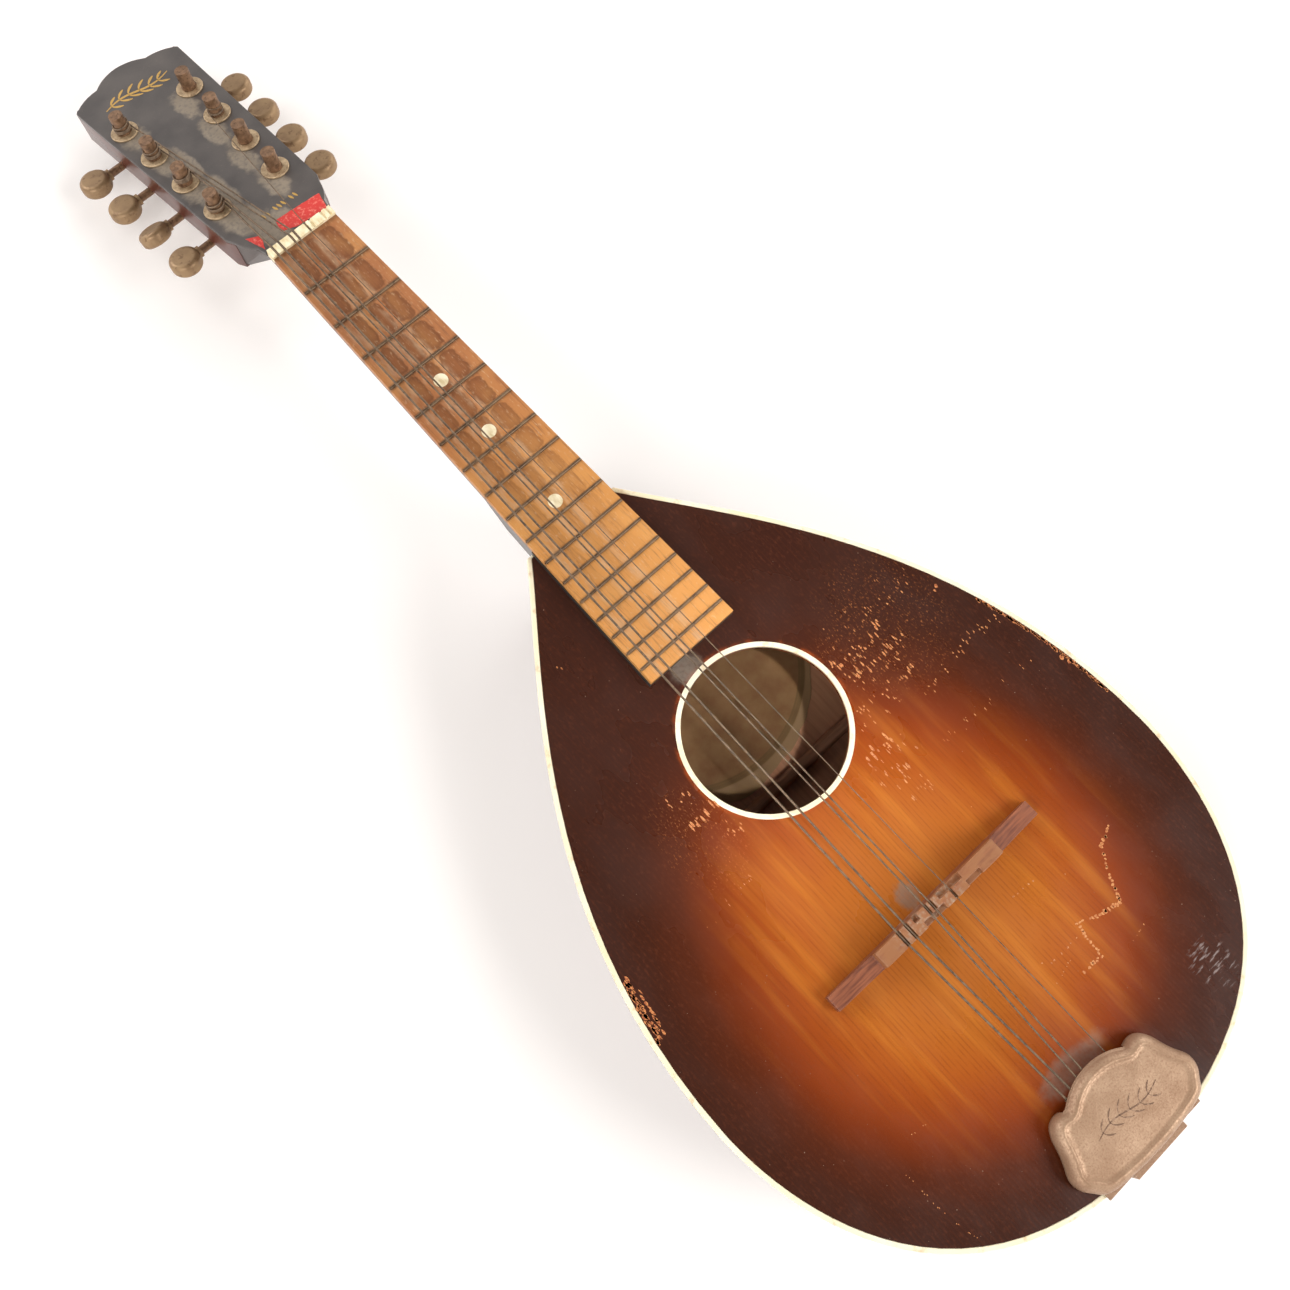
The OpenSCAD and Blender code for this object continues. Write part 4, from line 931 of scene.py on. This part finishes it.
def add_cover(bm):
    loop = cover_loop()
    middle = Vector((0, 19.5))
    rows = []
    for height, depth in RIM:
        row = []
        for p in inset(loop, depth):
            gap = 5.8 if abs(p.x + 0.7) < 16.6 and p.y < 9 else 2.0
            row.append((p, max(height, gap)))
        rows.append(row)
    flat = [p for p, _ in rows[-1]]
    for k in range(1, 13):
        t = k / 13
        rows.append([(p.lerp(middle, t), RIM[-1][0] + 0.25 * math.sin(t * math.pi / 2)) for p in flat])
    grid = []
    for row in rows:
        grid.append([bm.verts.new(at(COVER_FRONT + p.y, COVER_V + p.x, FACE_Z + h * MM)) for p, h in row])
    count = len(loop)
    for outer, inner in zip(grid, grid[1:]):
        for i in range(count):
            j = (i + 1) % count
            bm.faces.new((outer[i], outer[j], inner[j], inner[i]))
    centre = bm.verts.new(at(COVER_FRONT + middle.y, COVER_V, FACE_Z + (RIM[-1][0] + 0.25) * MM))
    for i in range(count):
        bm.faces.new((grid[-1][i], grid[-1][(i + 1) % count], centre))


cover_mesh = mesh_from("cover_pressing", add_cover)
cover = link_object("cover_pressing", cover_mesh, "cover_plate", tail_metal)
smooth(cover.data, 60)
sheet = cover.modifiers.new("sheet", "SOLIDIFY")
sheet.thickness = 0.8 * MM
sheet.offset = -1
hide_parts("tailpiece_cover")


def on_cover(q, lift):
    return at(COVER_FRONT + 19.5 + q.y, COVER_V + q.x, FACE_Z + (7.8 + 0.02 + lift + 0.03) * MM)


engraving = paint_material("engraved_line", srgb(112, 84, 64), srgb(150, 120, 96), roughness=0.7)
ornament_mesh = mesh_from("cover_ornament", stroke(spray(30, 9), 0.28, 0.06, on_cover))
link_object("cover_ornament", ornament_mesh, "cover_plate", engraving)
string_metal = metal_material("string_metal", srgb(150, 138, 124), srgb(104, 94, 84), srgb(84, 72, 60),
                              roughness=0.4)
wound = metal_material("wound_string", srgb(132, 110, 88), srgb(92, 76, 62), srgb(70, 56, 46), roughness=0.45,
                       metallic=0.5, size=3.0)

POST_R, HOOK_R, HOOK_U = 3.0, 0.9, 446.0
NUT_DEPTH, NUT_STRING_Z, BRIDGE_STRING_Z = 4.2, BOARD_Z + 1.3 * MM, BOARD_Z + 5 * MM
HOOK_STRING_Z = FACE_Z + 3.8 * MM
# Each string: v at the nut and bridge, hook number, radius, side (-1 bass), post number from the
# nut, heights above the veneer of the first and the last turn, and whether it is wound
STRINGS = [
    (-13.2, -19.0, 0, 0.43, -1, 0, 3.0, 2.1, True), (-9.8, -15.0, 1, 0.43, -1, 1, 3.3, 4.9, True),
    (-4.6, -5.2, 2, 0.33, -1, 2, 3.4, 2.0, True), (-2.4, -2.8, 3, 0.33, -1, 3, 3.4, 2.0, True),
    (3.2, 5.8, 6, 0.2, 1, 2, 2.8, 1.9, False),
]


# Tuner row: pitch, the nearest post's place along and across the head, the head's shift, the row's lean
POST_PITCH, POST_S, POST_V, HEAD_SHIFT, POST_LEAN = 23.0, 34.6, 14.6, -1.2, math.radians(2.1)
HOOK_PITCH, HOOK_SHIFT = 3.6, -1.0


def at_post(side, number, x, y, n):
    """A point of one tuner's frame: x out of the head's side, y to the tip, n above the veneer."""
    c, k = math.cos(POST_LEAN), math.sin(POST_LEAN)
    y += POST_PITCH * number
    return on_head(POST_S + y * c - x * k, side * (POST_V + x * c + y * k) + HEAD_SHIFT, n)


def hook_across(hook):
    """The v of a string hook, counted from 0 at the bass side to 7."""
    return (hook - 3.5) * HOOK_PITCH + HOOK_SHIFT


def string_path(v_nut, v_bridge, hook, r, side, post, first, last):
    """The whole run of one string, from the hole of its post to the loop on its hook."""
    reach = POST_R + 0.06 + r
    path = [at_post(side, post, 0, 0, 6.0), at_post(side, post, -reach + 0.3, 0, 6.0)]
    turns = max(3, round(abs(first - last) / (2 * r)) + 1)
    steps = 20
    lead = [5.7 + (first - 5.7) * k / steps for k in range(steps)]
    wind = [first + (last - first) * k / (steps * turns) for k in range(steps * turns + 1)]
    for k, n in enumerate(lead + wind):
        a = math.pi + 2 * math.pi * k / steps
        path.append(at_post(side, post, reach * math.cos(a), reach * math.sin(a), n))
    path += [at(-NUT_DEPTH, v_nut, NUT_STRING_Z), at(0, v_nut, NUT_STRING_Z)]
    path.append(at(BRIDGE_U, v_bridge, BRIDGE_STRING_Z))
    hook_v = hook_across(hook)
    path.append(at(HOOK_U - 4.5, hook_v, HOOK_STRING_Z + 0.2 * MM))
    around = HOOK_R + 0.06 + r
    for k in range(17):
        a = math.pi / 2 - 0.5 - (2 * math.pi - 1.0) * k / 16
        path.append(at(HOOK_U - around * math.sin(a), hook_v + around * math.cos(a), HOOK_STRING_Z))
    path.append(at(HOOK_U - 4.2, hook_v - 0.5, HOOK_STRING_Z + 0.2 * MM))
    return path


def twist_path(v_bridge, hook, r):
    """The end of the loop, twisted round the string in front of the hook."""
    start = at(HOOK_U, hook_across(hook), HOOK_STRING_Z)
    end = at(BRIDGE_U, v_bridge, BRIDGE_STRING_Z)
    along = (end - start).normalized()
    side, up = along.cross(Vector((0, 0, 1))).normalized(), Vector((0, 0, 1))
    return [start + along * (4.2 + 11.0 * k / 120) * MM
            + (side * math.cos(k * 0.75) + up * math.sin(k * 0.75)) * (r + 0.16) * MM for k in range(121)]


curve = bpy.data.curves.new("string_set", "CURVE")
curve.dimensions = "3D"
curve.bevel_depth = MM
curve.bevel_resolution = 3
curve.use_fill_caps = True
for entry in STRINGS:
    runs = [(string_path(*entry[:-1]), entry[3]), (twist_path(entry[1], entry[2], entry[3]), 0.17)]
    for path, radius in runs:
        spline = curve.splines.new("POLY")
        spline.points.add(len(path) - 1)
        spline.material_index = 0 if entry[-1] else 1
        for point, place in zip(spline.points, path):
            point.co = (*place, 1)
            point.radius = radius
string_set = bpy.data.objects.new("string_set", curve)
bpy.context.scene.collection.objects.link(string_set)
curve.materials.append(wound)
curve.materials.append(string_metal)
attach(string_set, BODY)
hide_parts("strings")

# ---- Stage ------------------------------------------------------------------------------------------
def add_floor():
    bm = bmesh.new()
    bmesh.ops.create_grid(bm, x_segments=2, y_segments=2, size=6)
    mesh = bpy.data.meshes.new("floor")
    bm.to_mesh(mesh)
    bm.free()
    floor = bpy.data.objects.new("floor", mesh)
    bpy.context.scene.collection.objects.link(floor)
    mat = bpy.data.materials.new("floor_paper")
    mat.use_nodes = True
    shader = mat.node_tree.nodes["Principled BSDF"]
    shader.inputs["Base Color"].default_value = (0.93, 0.9, 0.88, 1)
    shader.inputs["Roughness"].default_value = 0.9
    shader.inputs["Emission Color"].default_value = (1.0, 0.95, 0.92, 1)
    shader.inputs["Emission Strength"].default_value = 0.11
    shader.inputs["Specular IOR Level"].default_value = 0.1
    mesh.materials.append(mat)


add_floor()


def add_light(name, place, target, size, power, colour=(1, 1, 1)):
    lamp = bpy.data.lights.new(name, "AREA")
    lamp.shape = "DISK"
    lamp.size = size
    lamp.energy = power
    lamp.color = colour
    obj = bpy.data.objects.new(name, lamp)
    bpy.context.scene.collection.objects.link(obj)
    obj.location = place
    obj.rotation_euler = (Vector(target) - Vector(place)).to_track_quat("-Z", "Y").to_euler()


CENTRE = (0, -0.05, 0.03)
add_light("key", (0.9, -1.7, 1.5), CENTRE, 1.3, 38, (1.0, 0.985, 0.96))
add_light("fill", (1.9, 0.6, 1.2), CENTRE, 1.4, 20, (1.0, 0.98, 0.96))
add_light("back", (-0.8, 2.0, 1.3), CENTRE, 1.6, 30, (0.99, 0.98, 0.97))
add_light("left", (-1.9, -0.6, 1.6), CENTRE, 1.6, 34, (1.0, 0.985, 0.97))


def add_spot(name, place, target, radius, spread, power):
    """A narrow lamp that lights a disc of that radius round the target."""
    lamp = bpy.data.lights.new(name, "SPOT")
    lamp.spot_size = 2 * math.atan(radius / (Vector(target) - Vector(place)).length)
    lamp.spot_blend = 0.25
    lamp.shadow_soft_size = spread
    lamp.energy = power
    obj = bpy.data.objects.new(name, lamp)
    bpy.context.scene.collection.objects.link(obj)
    obj.location = place
    obj.rotation_euler = (Vector(target) - Vector(place)).to_track_quat("-Z", "Y").to_euler()


add_spot("into_hole", HOLE + Vector((-0.13, -0.42, 1.3)), HOLE, 0.031, 0.06, 125)

world = bpy.data.worlds.new("studio")
bpy.context.scene.world = world
world.use_nodes = True
sky = world.node_tree
coords = sky.nodes.new("ShaderNodeTexCoord")
height = sky.nodes.new("ShaderNodeSeparateXYZ")
sky.links.new(coords.outputs["Generated"], height.inputs[0])
shade = sky.nodes.new("ShaderNodeValToRGB")
sky.links.new(height.outputs["Z"], shade.inputs[0])
shade.color_ramp.elements[0].position = 0.3
shade.color_ramp.elements[0].color = (1.0, 0.985, 0.965, 1)
shade.color_ramp.elements[1].position = 0.8
shade.color_ramp.elements[1].color = (0.14, 0.13, 0.125, 1)
sky.links.new(shade.outputs[0], sky.nodes["Background"].inputs["Color"])
sky.nodes["Background"].inputs["Strength"].default_value = 0.8

# ---- Camera -----------------------------------------------------------------------------------------
RIGHT = Vector((0.7324, -0.6776, 0.0672))
UP = Vector((0.6431, 0.7208, 0.2585))
FORWARD = Vector((0.2236, 0.1461, -0.9637))
camera = bpy.data.objects.new("camera", bpy.data.cameras.new("camera"))
bpy.context.scene.collection.objects.link(camera)
camera.data.sensor_width = 36
camera.data.lens = 38.66
camera.data.clip_end = 20
turn = Matrix((RIGHT, UP, -FORWARD)).transposed().to_4x4()
camera.matrix_world = Matrix.Translation((-0.1281, NUT_Y - 0.288, BOARD_Z + 0.4961)) @ turn
bpy.context.scene.camera = camera
bpy.context.scene.view_settings.view_transform = "Standard"
